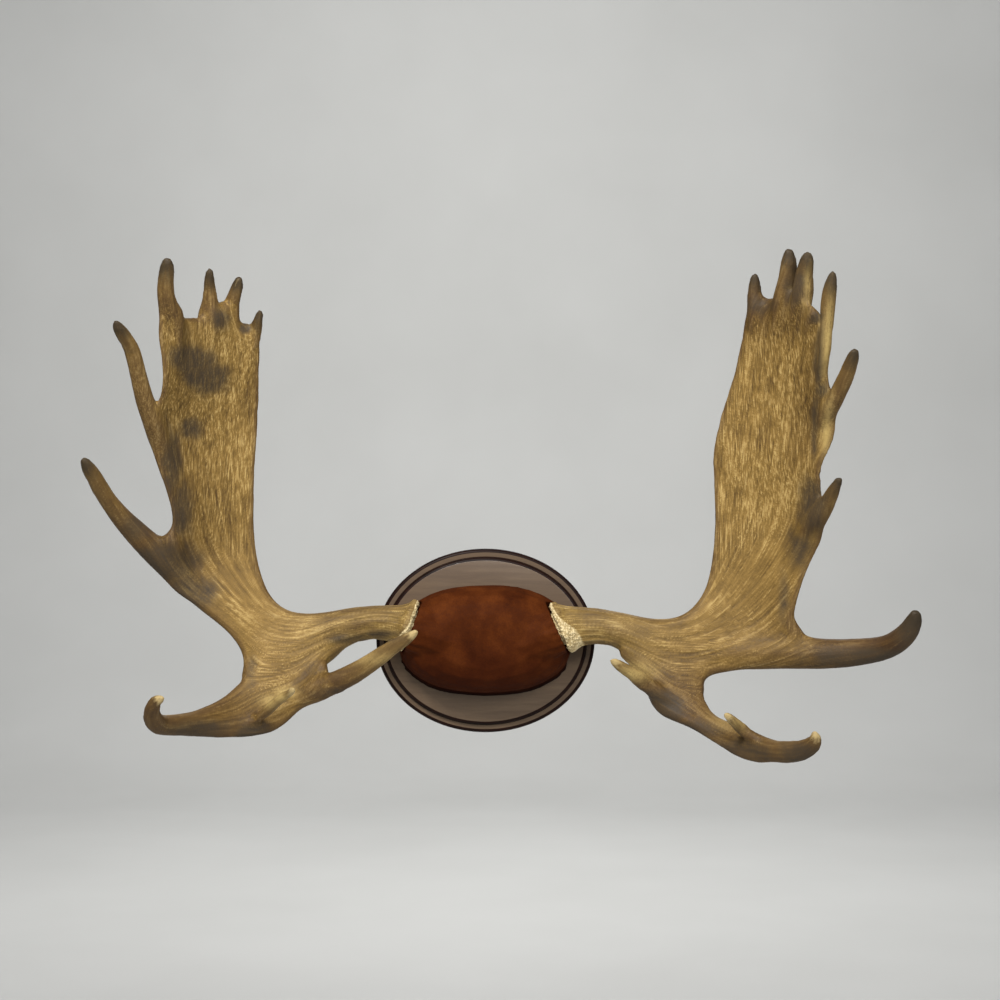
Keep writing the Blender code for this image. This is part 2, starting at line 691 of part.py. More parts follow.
def round_bar(name, half_width, half_height, back, front, middle_z, sides=5):
    """A flat bar with round ends, from y = -back to y = -front."""
    straight = half_height - half_width
    outline = []
    for end in (1, -1):
        for step in range(sides + 1):
            turn = math.pi * step / sides
            outline.append((end * half_width * math.cos(turn),
                            end * (straight + half_width * math.sin(turn))))
    rings = [[(x, -height, middle_z + z) for x, z in outline] for height in (back, front)]
    return add_object(name, mesh_from(name, *skin(np.array(rings))))


def hanger_pocket():
    return round_bar("pocket", HANGER_WIDTH / 2 + GAP, HANGER_HEIGHT / 2 + GAP, -1 * MM,
                     HANGER_THICK + 0.4 * MM + GAP, HANGER_Z)


def keyhole_pocket():
    """Room behind the keyhole for the head of the wall's screw."""
    return round_bar("pocket", KEYHOLE_RADIUS + 1 * MM, (KEYHOLE_RADIUS + KEYHOLE_RISE) * 0.75, 0,
                     KEYHOLE_DEPTH, HANGER_Z)


def make_hanger(material):
    """Keyhole plate, sunk flush in the back of the plaque."""
    plate = round_bar("hanger_plate", HANGER_WIDTH / 2, HANGER_HEIGHT / 2, 0.4 * MM,
                      0.4 * MM + HANGER_THICK, HANGER_Z)
    low = HANGER_Z - KEYHOLE_RISE / 2
    through = 5 * MM
    hole = cylinder("keyhole", KEYHOLE_RADIUS, (0, through, low), (0, -through, low), 12)
    boolean(plate, hole, "DIFFERENCE")
    slot = round_bar("slot", KEYHOLE_SLOT, KEYHOLE_RISE / 2 + KEYHOLE_SLOT, -through, through, HANGER_Z)
    boolean(plate, slot, "DIFFERENCE")
    for z in hanger_screw_heights():
        boolean(plate, screw_solid("hole", HANGER_SCREW, 0, z, 0, GAP), "DIFFERENCE")
    dress(plate, "hanger_plate", material, math.radians(35))


def make_screws(material):
    for side, (x, z) in SKULL_SCREWS.items():
        screw = screw_solid("screw", SKULL_SCREW, x * MM, z * MM, 0, 0)
        dress(screw, f"skull_screw_{side}", material, math.radians(35))
    for place, z in zip(("top", "bottom"), hanger_screw_heights()):
        screw = screw_solid("screw", HANGER_SCREW, 0, z, 0, 0)
        dress(screw, f"hanger_screw_{place}", material, math.radians(35))


def main():
    clear_scene()
    bone = make_material("antler", (0.40, 0.27, 0.12), 0.55)
    leather = make_material("leather", (0.10, 0.025, 0.008), 0.75)
    wood = make_material("wood", (0.055, 0.022, 0.012), 0.25)
    steel = make_material("steel", (0.62, 0.60, 0.56), 0.35, 1.0)
    left_limbs = [(LEFT_BEAM + LEFT_PALM, LEFT_TINES), (LEFT_BROW, LEFT_BROW_TINES)]
    antler("left_antler", LEFT_BURR, left_limbs, LEFT_FACES, LEFT_FORKS, bone)
    right_limbs = [(RIGHT_BEAM + RIGHT_PALM, [*RIGHT_TINES, RIGHT_LONG_TINE]),
                   (RIGHT_BROW, RIGHT_BROW_TINES)]
    antler("right_antler", RIGHT_BURR, right_limbs, RIGHT_FACES, RIGHT_FORKS, bone)
    make_plaque(wood)
    make_cover(leather)
    make_hanger(steel)
    make_screws(steel)


main()
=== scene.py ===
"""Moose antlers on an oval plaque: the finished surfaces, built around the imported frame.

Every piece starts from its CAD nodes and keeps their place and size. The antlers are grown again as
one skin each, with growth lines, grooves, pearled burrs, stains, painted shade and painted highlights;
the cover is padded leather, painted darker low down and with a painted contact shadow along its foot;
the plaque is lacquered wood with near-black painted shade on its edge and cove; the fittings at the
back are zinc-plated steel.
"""

import math

import bmesh
import bpy
import numpy as np
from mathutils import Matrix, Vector


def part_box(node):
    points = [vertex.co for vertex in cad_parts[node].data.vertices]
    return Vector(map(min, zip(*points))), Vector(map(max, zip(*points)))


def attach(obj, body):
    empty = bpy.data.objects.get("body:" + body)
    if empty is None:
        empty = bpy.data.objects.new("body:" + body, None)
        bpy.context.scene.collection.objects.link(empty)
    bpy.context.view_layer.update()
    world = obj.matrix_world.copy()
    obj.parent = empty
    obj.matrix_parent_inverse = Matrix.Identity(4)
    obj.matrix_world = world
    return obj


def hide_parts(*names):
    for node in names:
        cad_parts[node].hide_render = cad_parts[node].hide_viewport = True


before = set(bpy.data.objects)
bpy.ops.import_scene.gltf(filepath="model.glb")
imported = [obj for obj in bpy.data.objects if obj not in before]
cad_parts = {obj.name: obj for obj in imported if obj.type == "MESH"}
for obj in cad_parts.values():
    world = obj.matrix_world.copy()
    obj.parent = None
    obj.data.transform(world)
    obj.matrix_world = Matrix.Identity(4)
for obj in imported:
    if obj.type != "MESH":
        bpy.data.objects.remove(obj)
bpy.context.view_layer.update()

MM = 0.001
GAP = 0.3 * MM  # clearance between pieces that touch, as in the CAD

# The burrs. "middle" is the middle of the leather's side and "rise" the slope of the beam out of it, as in
# the CAD. The pearls cover "pearl" mm of the beam, and "flare" mm more below "top".
BURRS = {
    "left": {"middle": Vector((-101.5, -57, 21.5)) * MM, "side": -1, "rise": math.radians(20),
             "pearl": 4, "flare": 14, "top": -10 * MM},
    "right": {"middle": Vector((101, -57, 18.5)) * MM, "side": 1, "rise": math.radians(24),
              "pearl": 5, "flare": 20, "top": -25 * MM},
}
BURR_RADIUS = 62 * MM  # everything this near a burr's axis belongs to the beam or the burr

ANTLER_NODES = {
    "left": ("left_antler_beam", "left_antler_palm", "left_antler_brow_palm"),
    "right": ("right_antler_beam", "right_antler_palm", "right_antler_long_tine",
              "right_antler_brow_palm"),
}
SWELL = 0.3 * MM  # closes the saw gaps between an antler's nodes
SKIN_VOXEL = 1.75 * MM
FIELD_VOXEL = 5 * MM
COVER_VOXEL = 1.5 * MM
PEARL_SIZE = 3.0 * MM
# (width, reach along the growth) of the four kinds of growth lines
FINE_LINES = (1.2 * MM, 36 * MM)
MEDIUM_LINES = (1.8 * MM, 50 * MM)
BROAD_LINES = (7 * MM, 60 * MM)
GROOVES = (4 * MM, 60 * MM)

PLAQUE_SIDES = 192
EDGE_HEIGHT = 8 * MM
LEDGE_HEIGHT = 13 * MM
EDGE_ROUND = 5 * MM
LEDGE_WIDTH = 7 * MM
COVE_WIDTH = 4 * MM
DARK_EDGE = 4.9 * MM  # insets of the near-black painted shade from the plaque's edge: the rounded edge, and the cove
DARK_COVE = (10.9 * MM, 16.3 * MM)
HANGER_Z = 86 * MM
HANGER_SCREW_STEP = 22 * MM
SKULL_SCREWS = {"top": (0, 38), "left": (-42, -18), "right": (42, -18)}  # x, z in mm
SHARP_ANGLE = math.radians(35)

FLOOR_Z = -1.0


# ---------------------------------------------------------------- arrays and meshes

def read_points(mesh):
    points = np.empty(len(mesh.vertices) * 3)
    mesh.vertices.foreach_get("co", points)
    return points.reshape(-1, 3)


def read_normals(mesh):
    normals = np.empty(len(mesh.vertices) * 3, np.float32)
    mesh.vertex_normals.foreach_get("vector", normals)
    return normals.reshape(-1, 3).astype(float)


def read_edges(mesh):
    ends = np.empty(len(mesh.edges) * 2, np.int32)
    mesh.edges.foreach_get("vertices", ends)
    return ends.reshape(-1, 2)


def write_points(mesh, points):
    mesh.vertices.foreach_set("co", points.ravel())
    mesh.update()


def write_attribute(mesh, name, values):
    attribute = mesh.attributes.new(name, "FLOAT", "POINT")
    attribute.data.foreach_set("value", np.asarray(values, np.float32))


def add_object(name, mesh):
    thing = bpy.data.objects.new(name, mesh)
    bpy.context.scene.collection.objects.link(thing)
    return thing


def evaluated(thing):
    """The object's mesh with its modifiers applied. The modifiers are taken off."""
    shape = bpy.data.meshes.new_from_object(thing.evaluated_get(bpy.context.evaluated_depsgraph_get()))
    thing.modifiers.clear()
    old = thing.data
    thing.data = shape
    bpy.data.meshes.remove(old)
    return shape


def smoothstep(low, high, values):
    share = np.clip((values - low) / (high - low), 0, 1)
    return share * share * (3 - 2 * share)


class Net:
    """The edges of a mesh, for sums over each point's neighbours."""

    def __init__(self, mesh):
        self.ends = read_edges(mesh)
        self.count = len(mesh.vertices)
        self.degree = np.bincount(self.ends.ravel(), minlength=self.count).astype(float)

    def total(self, values):
        """The sum of the neighbours' values, for one value or one row of values a point."""
        if values.ndim > 1:
            return np.stack([self.total(column) for column in values.T], axis=1)
        first, second = self.ends.T
        return (np.bincount(first, values[second], self.count)
                + np.bincount(second, values[first], self.count))

    def mean(self, values):
        degree = self.degree if values.ndim == 1 else self.degree[:, None]
        return self.total(values) / degree

    def relaxed(self, points, rounds, inward=0.5, outward=0.52):
        """Points evened out over the surface without shrinking it (Taubin's filter)."""
        for _ in range(rounds):
            points = points + inward * (self.mean(points) - points)
            points = points - outward * (self.mean(points) - points)
        return points

    def evened(self, points, ways, mask, rounds):
        """Points evened out along the given direction at each point, where the mask says so."""
        first, second = self.ends.T
        span = points[second] - points[first]
        span /= np.linalg.norm(span, axis=1, keepdims=True) + 1e-12
        weight = np.abs((span * ways[first]).sum(axis=1)) ** 4 + 0.01
        total = np.bincount(first, weight, self.count) + np.bincount(second, weight, self.count)
        for _ in range(rounds):
            mean = [np.bincount(first, weight * column[second], self.count)
                    + np.bincount(second, weight * column[first], self.count) for column in points.T]
            points = points + (0.5 * mask)[:, None] * (np.stack(mean, axis=1) / total[:, None] - points)
        return points

    def filled(self, points, mask, rounds):
        """Points softened all round, where the mask says so."""
        for _ in range(rounds):
            points = points + (0.5 * mask)[:, None] * (self.mean(points) - points)
        return points

    def blurred(self, values, rounds):
        for _ in range(rounds):
            values = 0.5 * (values + self.mean(values))
        return values


def cad_copy(name, nodes, swell=0.0):
    """Copies of CAD nodes in one object, each swollen by a hair so that saw gaps between them close."""
    work = bmesh.new()
    for node in nodes:
        work.from_mesh(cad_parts[node].data)
    bmesh.ops.remove_doubles(work, verts=work.verts[:], dist=0.01 * MM)
    work.normal_update()
    moves = [vertex.normal * swell for vertex in work.verts]
    for vertex, move in zip(work.verts, moves):
        vertex.co += move
    mesh = bpy.data.meshes.new(name)
    work.to_mesh(mesh)
    work.free()
    return add_object(name, mesh)


def voxel_skin(thing, size):
    remesh = thing.modifiers.new("skin", "REMESH")
    remesh.mode = "VOXEL"
    remesh.voxel_size = size
    remesh.adaptivity = 0
    evaluated(thing)
    keep_largest(thing.data)


def keep_largest(mesh):
    """Removes the small bubbles that a voxel remesh leaves where shells overlap."""
    labels = np.arange(len(mesh.vertices))
    first, second = read_edges(mesh).T
    while True:
        low = np.minimum(labels[first], labels[second])
        spread = labels.copy()
        np.minimum.at(spread, first, low)
        np.minimum.at(spread, second, low)
        spread = spread[spread]
        if np.array_equal(spread, labels):
            break
        labels = spread
    names, counts = np.unique(labels, return_counts=True)
    if len(names) == 1:
        return
    keep = labels == names[counts.argmax()]
    work = bmesh.new()
    work.from_mesh(mesh)
    work.verts.ensure_lookup_table()
    bmesh.ops.delete(work, geom=[work.verts[i] for i in np.flatnonzero(~keep)], context="VERTS")
    work.to_mesh(mesh)
    work.free()


# ---------------------------------------------------------------- noise

class ValueNoise:
    """Smooth seeded noise through space, from 0 to 1."""

    SIDE = 97

    def __init__(self, seed):
        self.table = np.random.default_rng(seed).random(self.SIDE ** 3, np.float32)

    def at(self, points, cell):
        scaled = (points / cell + 1000.0).astype(np.float32).T
        base = scaled.astype(np.int32)
        share = scaled - base
        share *= share * (3 - 2 * share)
        low = base % self.SIDE
        high = (base + 1) % self.SIDE
        rows = [x * self.SIDE + y for x in (low[0], high[0]) for y in (low[1], high[1])]
        ends = []
        for row in rows:
            near = self.table[row * self.SIDE + low[2]]
            ends.append(near + share[2] * (self.table[row * self.SIDE + high[2]] - near))
        front = ends[0] + share[1] * (ends[1] - ends[0])
        back = ends[2] + share[1] * (ends[3] - ends[2])
        return front + share[0] * (back - front)

    def layered(self, points, cell, layers=3):
        value = np.zeros(len(points))
        for layer in range(layers):
            value += self.at(points + layer, cell / 2 ** layer) / 2 ** (layer + 1)
        return value / (1 - 0.5 ** layers)


def pearls(points, cell, seed):
    """How near each point is to the middle of one of many scattered pearls: 1 there, 0 between them."""
    rng = np.random.default_rng(seed)
    side = 53
    jitter = rng.random((side ** 3, 3)) * 0.75
    size = 0.5 + 0.5 * rng.random(side ** 3)
    scaled = points / cell + 1000.0
    base = np.floor(scaled).astype(np.int64)
    best = np.zeros(len(points))
    for step in np.ndindex(3, 3, 3):
        corner = base + np.array(step) - 1
        x, y, z = (corner % side).T
        place = (x * side + y) * side + z
        gap = np.linalg.norm(scaled - corner - jitter[place], axis=1) / (0.72 * size[place])
        best = np.maximum(best, size[place] * np.sqrt(np.clip(1 - gap ** 2, 0, 1)))
    return best


# ---------------------------------------------------------------- growth lines

def growth_heights(net, rooted):
    """A height that rises from the burr to every tip: each point lies above the average around it."""
    free = (~rooted).astype(float)
    height = np.zeros(net.count)
    rest = free.copy()
    push = rest.copy()
    size = rest @ rest
    goal = size * 1e-10
    for _ in range(1500):
        pulled = (net.degree * push - net.total(push)) * free
        step = size / (push @ pulled)
        height += step * push
        rest -= step * pulled
        new_size = rest @ rest
        if new_size < goal:
            break
        push = rest + new_size / size * push
        size = new_size
    return height


class GrowthField:
    """Which way the antler grew, for any point near it, from heights on a coarse skin."""

    CELL = 5 * MM

    def __init__(self, points, net, heights, upright):
        first, second = net.ends.T
        span = points[second] - points[first]
        slope = ((heights[second] - heights[first]) / (span ** 2).sum(axis=1))[:, None] * span
        lean = np.stack([np.bincount(first, column, net.count) + np.bincount(second, column, net.count)
                         for column in slope.T], axis=1)
        lean /= np.linalg.norm(lean, axis=1, keepdims=True) + 1e-12
        lean[:, 2] += upright
        lean = net.blurred(lean, 6)
        self.low = points.min(axis=0) - 4 * self.CELL
        self.shape = np.ceil((points.max(axis=0) + 4 * self.CELL - self.low) / self.CELL).astype(int)
        place = self.place(points)
        grid = np.stack([np.bincount(place, column, self.shape.prod()) for column in lean.T], axis=1)
        grid = grid.reshape(*self.shape, 3)
        for _ in range(3):
            spread = grid * 2
            for axis in range(3):
                spread += np.roll(grid, 1, axis) + np.roll(grid, -1, axis)
            grid = spread
        grid = grid.reshape(-1, 3)
        self.grid = grid / (np.linalg.norm(grid, axis=1, keepdims=True) + 1e-12)

    def place(self, points):
        cell = np.clip(((points - self.low) / self.CELL).astype(int), 0, self.shape - 1)
        return (cell[:, 0] * self.shape[1] + cell[:, 1]) * self.shape[2] + cell[:, 2]

    def ways(self, points):
        """The direction of growth at each point."""
        return self.grid[self.place(points)]

    def streaks(self, points, scales, seed):
        """Noise averaged along the growth lines, one row of values for each (width, reach)."""
        noise = ValueNoise(seed)
        stride = 2.5 * MM
        sums = [noise.at(points + index, width) for index, (width, _) in enumerate(scales)]
        longest = max(reach for _, reach in scales)
        for way in (stride, -stride):
            walk = points.copy()
            for step in range(1, int(longest / stride)):
                walk += way * self.ways(walk)
                for index, (width, reach) in enumerate(scales):
                    skip = max(1, round(width / stride))
                    fade = 1 - step * stride / reach
                    if fade > 0 and step % skip == 0:
                        sums[index] += fade * noise.at(walk + index, width)
        return [(values - values.mean()) / values.std() for values in sums]


def find_tips(points, heights):
    """The points that lie higher than everything within 18 mm of them."""
    tips = []
    for index in np.argsort(-heights):
        if heights[index] < heights.max() * 0.15:
            break
        if any(np.linalg.norm(points[index] - tip) < 18 * MM for tip in tips):
            continue
        near = np.linalg.norm(points - points[index], axis=1) < 18 * MM
        if heights[near].max() <= heights[index]:
            tips.append(points[index])
    return np.array(tips)


# ---------------------------------------------------------------- antlers

def burr_axes(burr):
    """The direction out of the skull, and two directions across it: up and towards the viewer."""
    outward = Vector((burr["side"] * math.cos(burr["rise"]), 0, math.sin(burr["rise"])))
    across = Vector((0, -1, 0))
    return outward, across.cross(outward) * burr["side"], across


def from_burr(points, burr):
    """Each point's offset from a burr's middle, its way along the beam and its way out from the axis."""
    outward = np.array(burr_axes(burr)[0])
    offset = points - np.array(burr["middle"])
    along = offset @ outward
    radial = np.linalg.norm(offset - along[:, None] * outward, axis=1)
    return offset, along, radial


def refine(mesh, chosen):
    """Splits the edges whose two ends are both chosen, for finer detail there."""
    work = bmesh.new()
    work.from_mesh(mesh)
    edges = [edge for edge in work.edges if chosen[edge.verts[0].index] and chosen[edge.verts[1].index]]
    bmesh.ops.subdivide_edges(work, edges=edges, cuts=1, use_grid_fill=True, smooth=0.0)
    work.to_mesh(mesh)
    work.free()


def nearest_gap(points, places):
    """The distance from each point to the nearest of the places."""
    if not len(places):
        return np.full(len(points), 1.0)
    return np.min([np.linalg.norm(points - place, axis=1) for place in places], axis=0)


def in_box(place, node, margin=3 * MM):
    low, high = (np.array(corner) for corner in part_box(node))
    return bool((place > low - margin).all() and (place < high + margin).all())


def box_point(node, share):
    """A place in a CAD node's box, from shares of its width, depth and height."""
    low, high = (np.array(corner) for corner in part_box(node))
    return low + (high - low) * np.array(share)


def stain(points, node, share, size):
    """A soft blot around a place in a node's box, for stains, painted shade and painted highlights. Sizes
    are half widths across and up.
    """
    offset = (points - box_point(node, (share[0], 0.5, share[1])))[:, (0, 2)] / np.array(size)
    return np.exp(-(offset ** 2).sum(axis=1))


# node, (share across, share up), (half width, half height) in metres, strength
STAINS_AND_SHADOWS = {
    "left": (
        ("left_antler_palm", (0.48, 0.765), (0.036, 0.022), 1.0),
        ("left_antler_palm", (0.53, 0.725), (0.032, 0.026), 1.0),
        ("left_antler_palm", (0.45, 0.60), (0.018, 0.018), 0.95),
        ("left_antler_palm", (0.37, 0.51), (0.016, 0.060), 0.80),
        ("left_antler_palm", (0.41, 0.40), (0.018, 0.045), 0.85),
        ("left_antler_palm", (0.32, 0.27), (0.055, 0.034), 1.0),
        ("left_antler_palm", (0.44, 0.20), (0.044, 0.030), 0.85),
        ("left_antler_palm", (0.22, 0.36), (0.034, 0.030), 0.75),
        ("left_antler_palm", (0.60, 0.87), (0.018, 0.020), 0.75),
        ("left_antler_palm", (0.70, 0.85), (0.009, 0.009), 0.90),
        ("left_antler_brow_palm", (0.36, 0.04), (0.028, 0.016), 1.0),
        ("left_antler_brow_palm", (0.19, 0.11), (0.074, 0.017), 0.75),
        ("left_antler_brow_palm", (0.71, 0.40), (0.080, 0.011), 0.60),
        ("left_antler_brow_palm", (0.35, 0.61), (0.011, 0.040), 0.60),
        ("left_antler_beam", (0.32, 0.43), (0.040, 0.010), 0.70),
        ("left_antler_beam", (0.63, 0.50), (0.040, 0.008), 0.70),
    ),
    "right": (
        ("right_antler_palm", (0.70, 0.91), (0.018, 0.032), 0.85),
        ("right_antler_palm", (0.52, 0.88), (0.030, 0.016), 0.75),
        ("right_antler_palm", (0.80, 0.84), (0.010, 0.010), 0.90),
        # the next two narrow dark lines, beside the ridge of the outer tine, are painted shadow
        ("right_antler_palm", (0.82, 0.75), (0.007, 0.054), 0.85),
        ("right_antler_palm", (0.815, 0.60), (0.006, 0.060), 0.75),
        ("right_antler_palm", (0.84, 0.68), (0.010, 0.012), 0.90),
        ("right_antler_palm", (0.81, 0.42), (0.020, 0.050), 0.90),
        ("right_antler_palm", (0.76, 0.32), (0.022, 0.040), 0.75),
        ("right_antler_palm", (0.68, 0.20), (0.012, 0.054), 0.60),
        ("right_antler_brow_palm", (0.25, 0.47), (0.032, 0.024), 1.6),
        ("right_antler_brow_palm", (0.45, 0.29), (0.044, 0.014), 0.80),
        ("right_antler_brow_palm", (0.66, 0.12), (0.050, 0.018), 0.80),
        ("right_antler_brow_palm", (0.90, 0.12), (0.040, 0.024), 0.85),
        ("right_antler_long_tine", (0.92, 0.76), (0.026, 0.040), 0.85),
        ("right_antler_long_tine", (0.64, 0.22), (0.100, 0.020), 0.85),
    ),
}
# the same, for places that are darker all over: partly the antler's own darker colour, partly painted shade
# on lower parts and undersides
SHADES = {
    "left": (
        ("left_antler_brow_palm", (0.05, 0.20), (0.060, 0.060), 0.60),
        ("left_antler_brow_palm", (0.28, 0.14), (0.095, 0.050), 0.70),
        ("left_antler_brow_palm", (0.74, 0.46), (0.090, 0.034), 0.75),
        ("left_antler_palm", (0.30, 0.42), (0.050, 0.120), 0.45),
        ("left_antler_palm", (0.26, 0.31), (0.070, 0.060), 0.70),
        ("left_antler_palm", (0.42, 0.88), (0.060, 0.026), 0.35),
    ),
    "right": (
        ("right_antler_brow_palm", (0.34, 0.50), (0.085, 0.060), 0.95),
        ("right_antler_brow_palm", (0.65, 0.22), (0.070, 0.040), 0.70),
        ("right_antler_brow_palm", (0.90, 0.16), (0.050, 0.040), 0.60),
        ("right_antler_beam", (0.50, 0.50), (0.090, 0.060), 0.14),
        ("right_antler_long_tine", (0.78, 0.40), (0.130, 0.090), 1.0),
        ("right_antler_palm", (0.52, 0.88), (0.080, 0.050), 0.75),
        ("right_antler_palm", (0.80, 0.62), (0.030, 0.110), 0.45),
    ),
}
# the same, for pale wear and painted highlights on ridges that catch the light
WORN_AND_HIGHLIGHTS = {
    "left": (
        ("left_antler_brow_palm", (0.43, 0.33), (0.015, 0.008), 0.55),
        ("left_antler_brow_palm", (0.48, 0.39), (0.015, 0.008), 0.65),
        ("left_antler_brow_palm", (0.86, 0.72), (0.034, 0.009), 0.45),
    ),
    "right": (
        ("right_antler_palm", (0.85, 0.80), (0.006, 0.050), 0.75),
        ("right_antler_palm", (0.87, 0.59), (0.006, 0.040), 0.60),
        ("right_antler_palm", (0.76, 0.92), (0.005, 0.030), 0.45),
        ("right_antler_brow_palm", (0.12, 0.85), (0.026, 0.011), 0.75),
        ("right_antler_brow_palm", (0.62, 0.42), (0.022, 0.012), 0.50),
    ),
}


def marked(points, marks):
    """The strongest of the blots in a list, at each point."""
    values = np.zeros(len(points))
    for node, share, size, strength in marks:
        values = np.maximum(values, strength * stain(points, node, share, size))
    return values


def grow_field(side):
    """The growth lines and the tips of an antler, from a coarse skin that is then removed."""
    source = cad_copy(f"{side}_antler_field", ANTLER_NODES[side], SWELL)
    voxel_skin(source, FIELD_VOXEL)
    points = read_points(source.data)
    net = Net(source.data)
    offset, along, _ = from_burr(points, BURRS[side])
    rooted = (along < 2 * MM) & (np.linalg.norm(offset, axis=1) < 60 * MM)
    heights = growth_heights(net, rooted)
    tips = find_tips(points, heights)
    upright = 1.4 * smoothstep(0.10, 0.36, points[:, 2]) * smoothstep(0.03, 0.11, nearest_gap(points, tips))
    field = GrowthField(points, net, heights, upright)
    bpy.data.objects.remove(source)
    return field, tips


def even_out(mesh, burr, field, tips):
    """Takes the CAD's facets off the skin, softens its creases and refines it at the burr."""
    net = Net(mesh)
    points = net.relaxed(read_points(mesh), 90)
    write_points(mesh, points)
    normals = read_normals(mesh)
    root_gap = np.linalg.norm(points - np.array(burr["middle"]), axis=1)
    hollow = ((net.blurred(points, 24) - points) * normals).sum(axis=1)
    hollow = net.blurred(smoothstep(0.1 * MM, 0.6 * MM, hollow) * smoothstep(70 * MM, 100 * MM, root_gap), 5)
    points = net.filled(points, hollow, 40)
    plain = smoothstep(50 * MM, 85 * MM, nearest_gap(points, tips)) * smoothstep(80 * MM, 120 * MM, root_gap)
    plain *= 1 - smoothstep(0, 0.3, hollow)
    points = net.evened(points, field.ways(points), plain, 90)
    write_points(mesh, points)
    _, along, radial = from_burr(points, burr)
    refine(mesh, (along > -6 * MM) & (along < 34 * MM) & (radial < 60 * MM) & (radial > 20 * MM))


def burr_shares(points, burr, wander):
    """How much each point belongs to the pearled burr, and how much to the beam."""
    offset, along, radial = from_burr(points, burr)
    up = np.array(burr_axes(burr)[1])
    near_burr = radial < BURR_RADIUS
    low_side = smoothstep(burr["top"], burr["top"] + 45 * MM, -(offset @ up))
    reach = (burr["pearl"] + burr["flare"] * low_side + 4 * wander) * MM
    pearled = near_burr * smoothstep(-8 * MM, -2 * MM, along) * (1 - smoothstep(reach * 0.7, reach, along))
    beam = near_burr * (1 - smoothstep(60 * MM, 170 * MM, along))
    beam = np.maximum(beam, 1 - smoothstep(60 * MM, 200 * MM, np.linalg.norm(offset, axis=1)))
    return pearled, beam


def raise_relief(mesh, points, normals, field, tip_gap, lift, pearled, beam):
    """Raises the growth lines, the grooves and the pearls, and gives them to the material."""
    fine, medium, broad, grooves = field.streaks(
        points, (FINE_LINES, MEDIUM_LINES, BROAD_LINES, GROOVES), 23)
    calm = smoothstep(8 * MM, 60 * MM, tip_gap) * (1 - 0.8 * smoothstep(0.15 * MM, 0.6 * MM, lift))
    height = 0.06 * MM * medium * calm * (1 + beam)
    height += 0.08 * MM * grooves * calm * (1 + 3.5 * beam)
    height += 0.05 * MM * fine * calm
    height += 0.10 * MM * broad * calm * (1 - beam)
    height *= 1 - pearled
    beads = pearls(points, PEARL_SIZE, 5)
    height += pearled * (1.3 * MM * beads - 0.4 * MM)
    write_points(mesh, points + normals * height[:, None])
    write_attribute(mesh, "fine", 0.5 + 0.2 * fine)
    write_attribute(mesh, "medium", 0.5 + 0.2 * medium)
    write_attribute(mesh, "broad", 0.5 + 0.2 * broad)
    write_attribute(mesh, "bead", beads)
    return medium


def write_blots(mesh, side, points, normals, noise, medium):
    """Gives the stains and painted shadows, the darker places and painted shade, and the pale wear and
    painted highlights to the material.
    """
    facing = smoothstep(-0.4, 0.4, -normals[:, 1])
    blots = marked(points, STAINS_AND_SHADOWS[side]) * (0.35 + 0.65 * facing)
    patchy = noise.layered(points + 5, 16 * MM, 4)
    blots = smoothstep(0.22, 0.85, blots * (0.80 + 0.5 * patchy + 0.05 * medium) + 0.25 * (patchy - 0.5))
    write_attribute(mesh, "blot", blots)
    write_attribute(mesh, "shade", marked(points, SHADES[side]))
    write_attribute(mesh, "worn_and_highlight", marked(points, WORN_AND_HIGHLIGHTS[side]) * facing)


def write_tips(mesh, side, points, tips, wander):
    """Gives the palms' dark tips and the brow palms' pale ones to the material."""
    palm_tips = [tip for tip in tips if in_box(tip, f"{side}_antler_palm")
                 or side == "right" and in_box(tip, "right_antler_long_tine")]
    brow_tips = [tip for tip in tips if in_box(tip, f"{side}_antler_brow_palm")]
    dark_reach = (36 + 20 * (wander - 0.5)) * MM
    pale_reach = 17 * MM
    write_attribute(mesh, "tip_dark", np.clip(1 - nearest_gap(points, palm_tips) / dark_reach, 0, 1))
    write_attribute(mesh, "tip_pale", np.clip(1 - nearest_gap(points, brow_tips) / pale_reach, 0, 1))


def make_antler(side):
    burr = BURRS[side]
    field, tips = grow_field(side)
    thing = cad_copy(f"{side}_antler", ANTLER_NODES[side], SWELL)
    voxel_skin(thing, SKIN_VOXEL)
    mesh = thing.data
    even_out(mesh, burr, field, tips)

    net = Net(mesh)
    points = net.relaxed(read_points(mesh), 2)
    write_points(mesh, points)
    normals = read_normals(mesh)
    lift = ((points - net.blurred(points, 24)) * normals).sum(axis=1)
    noise = ValueNoise(11)
    wander = noise.layered(points, 12 * MM)
    pearled, beam = burr_shares(points, burr, wander)
    medium = raise_relief(mesh, points, normals, field, nearest_gap(points, tips), lift, pearled, beam)
    write_blots(mesh, side, points, normals, noise, medium)
    write_tips(mesh, side, points, tips, wander)
    way = np.abs(field.ways(points))
    write_attribute(mesh, "standing", net.blurred(smoothstep(0.86, 0.97, way[:, 2]), 3))
    write_attribute(mesh, "lying", net.blurred(smoothstep(0.86, 0.97, way[:, 0]), 3))
    write_attribute(mesh, "beam", beam)
    write_attribute(mesh, "pearled", pearled)
    # painted shade: the skin's bulge, positive on edges and negative in hollows, darkens both in the colour
    write_attribute(mesh, "curvature_shade", np.clip(lift / (0.5 * MM), -1, 1))
    mesh.shade_smooth()
    mesh.materials.clear()
    mesh.materials.append(antler_material())
    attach(thing, "root")
    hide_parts(*ANTLER_NODES[side])


# ---------------------------------------------------------------- materials

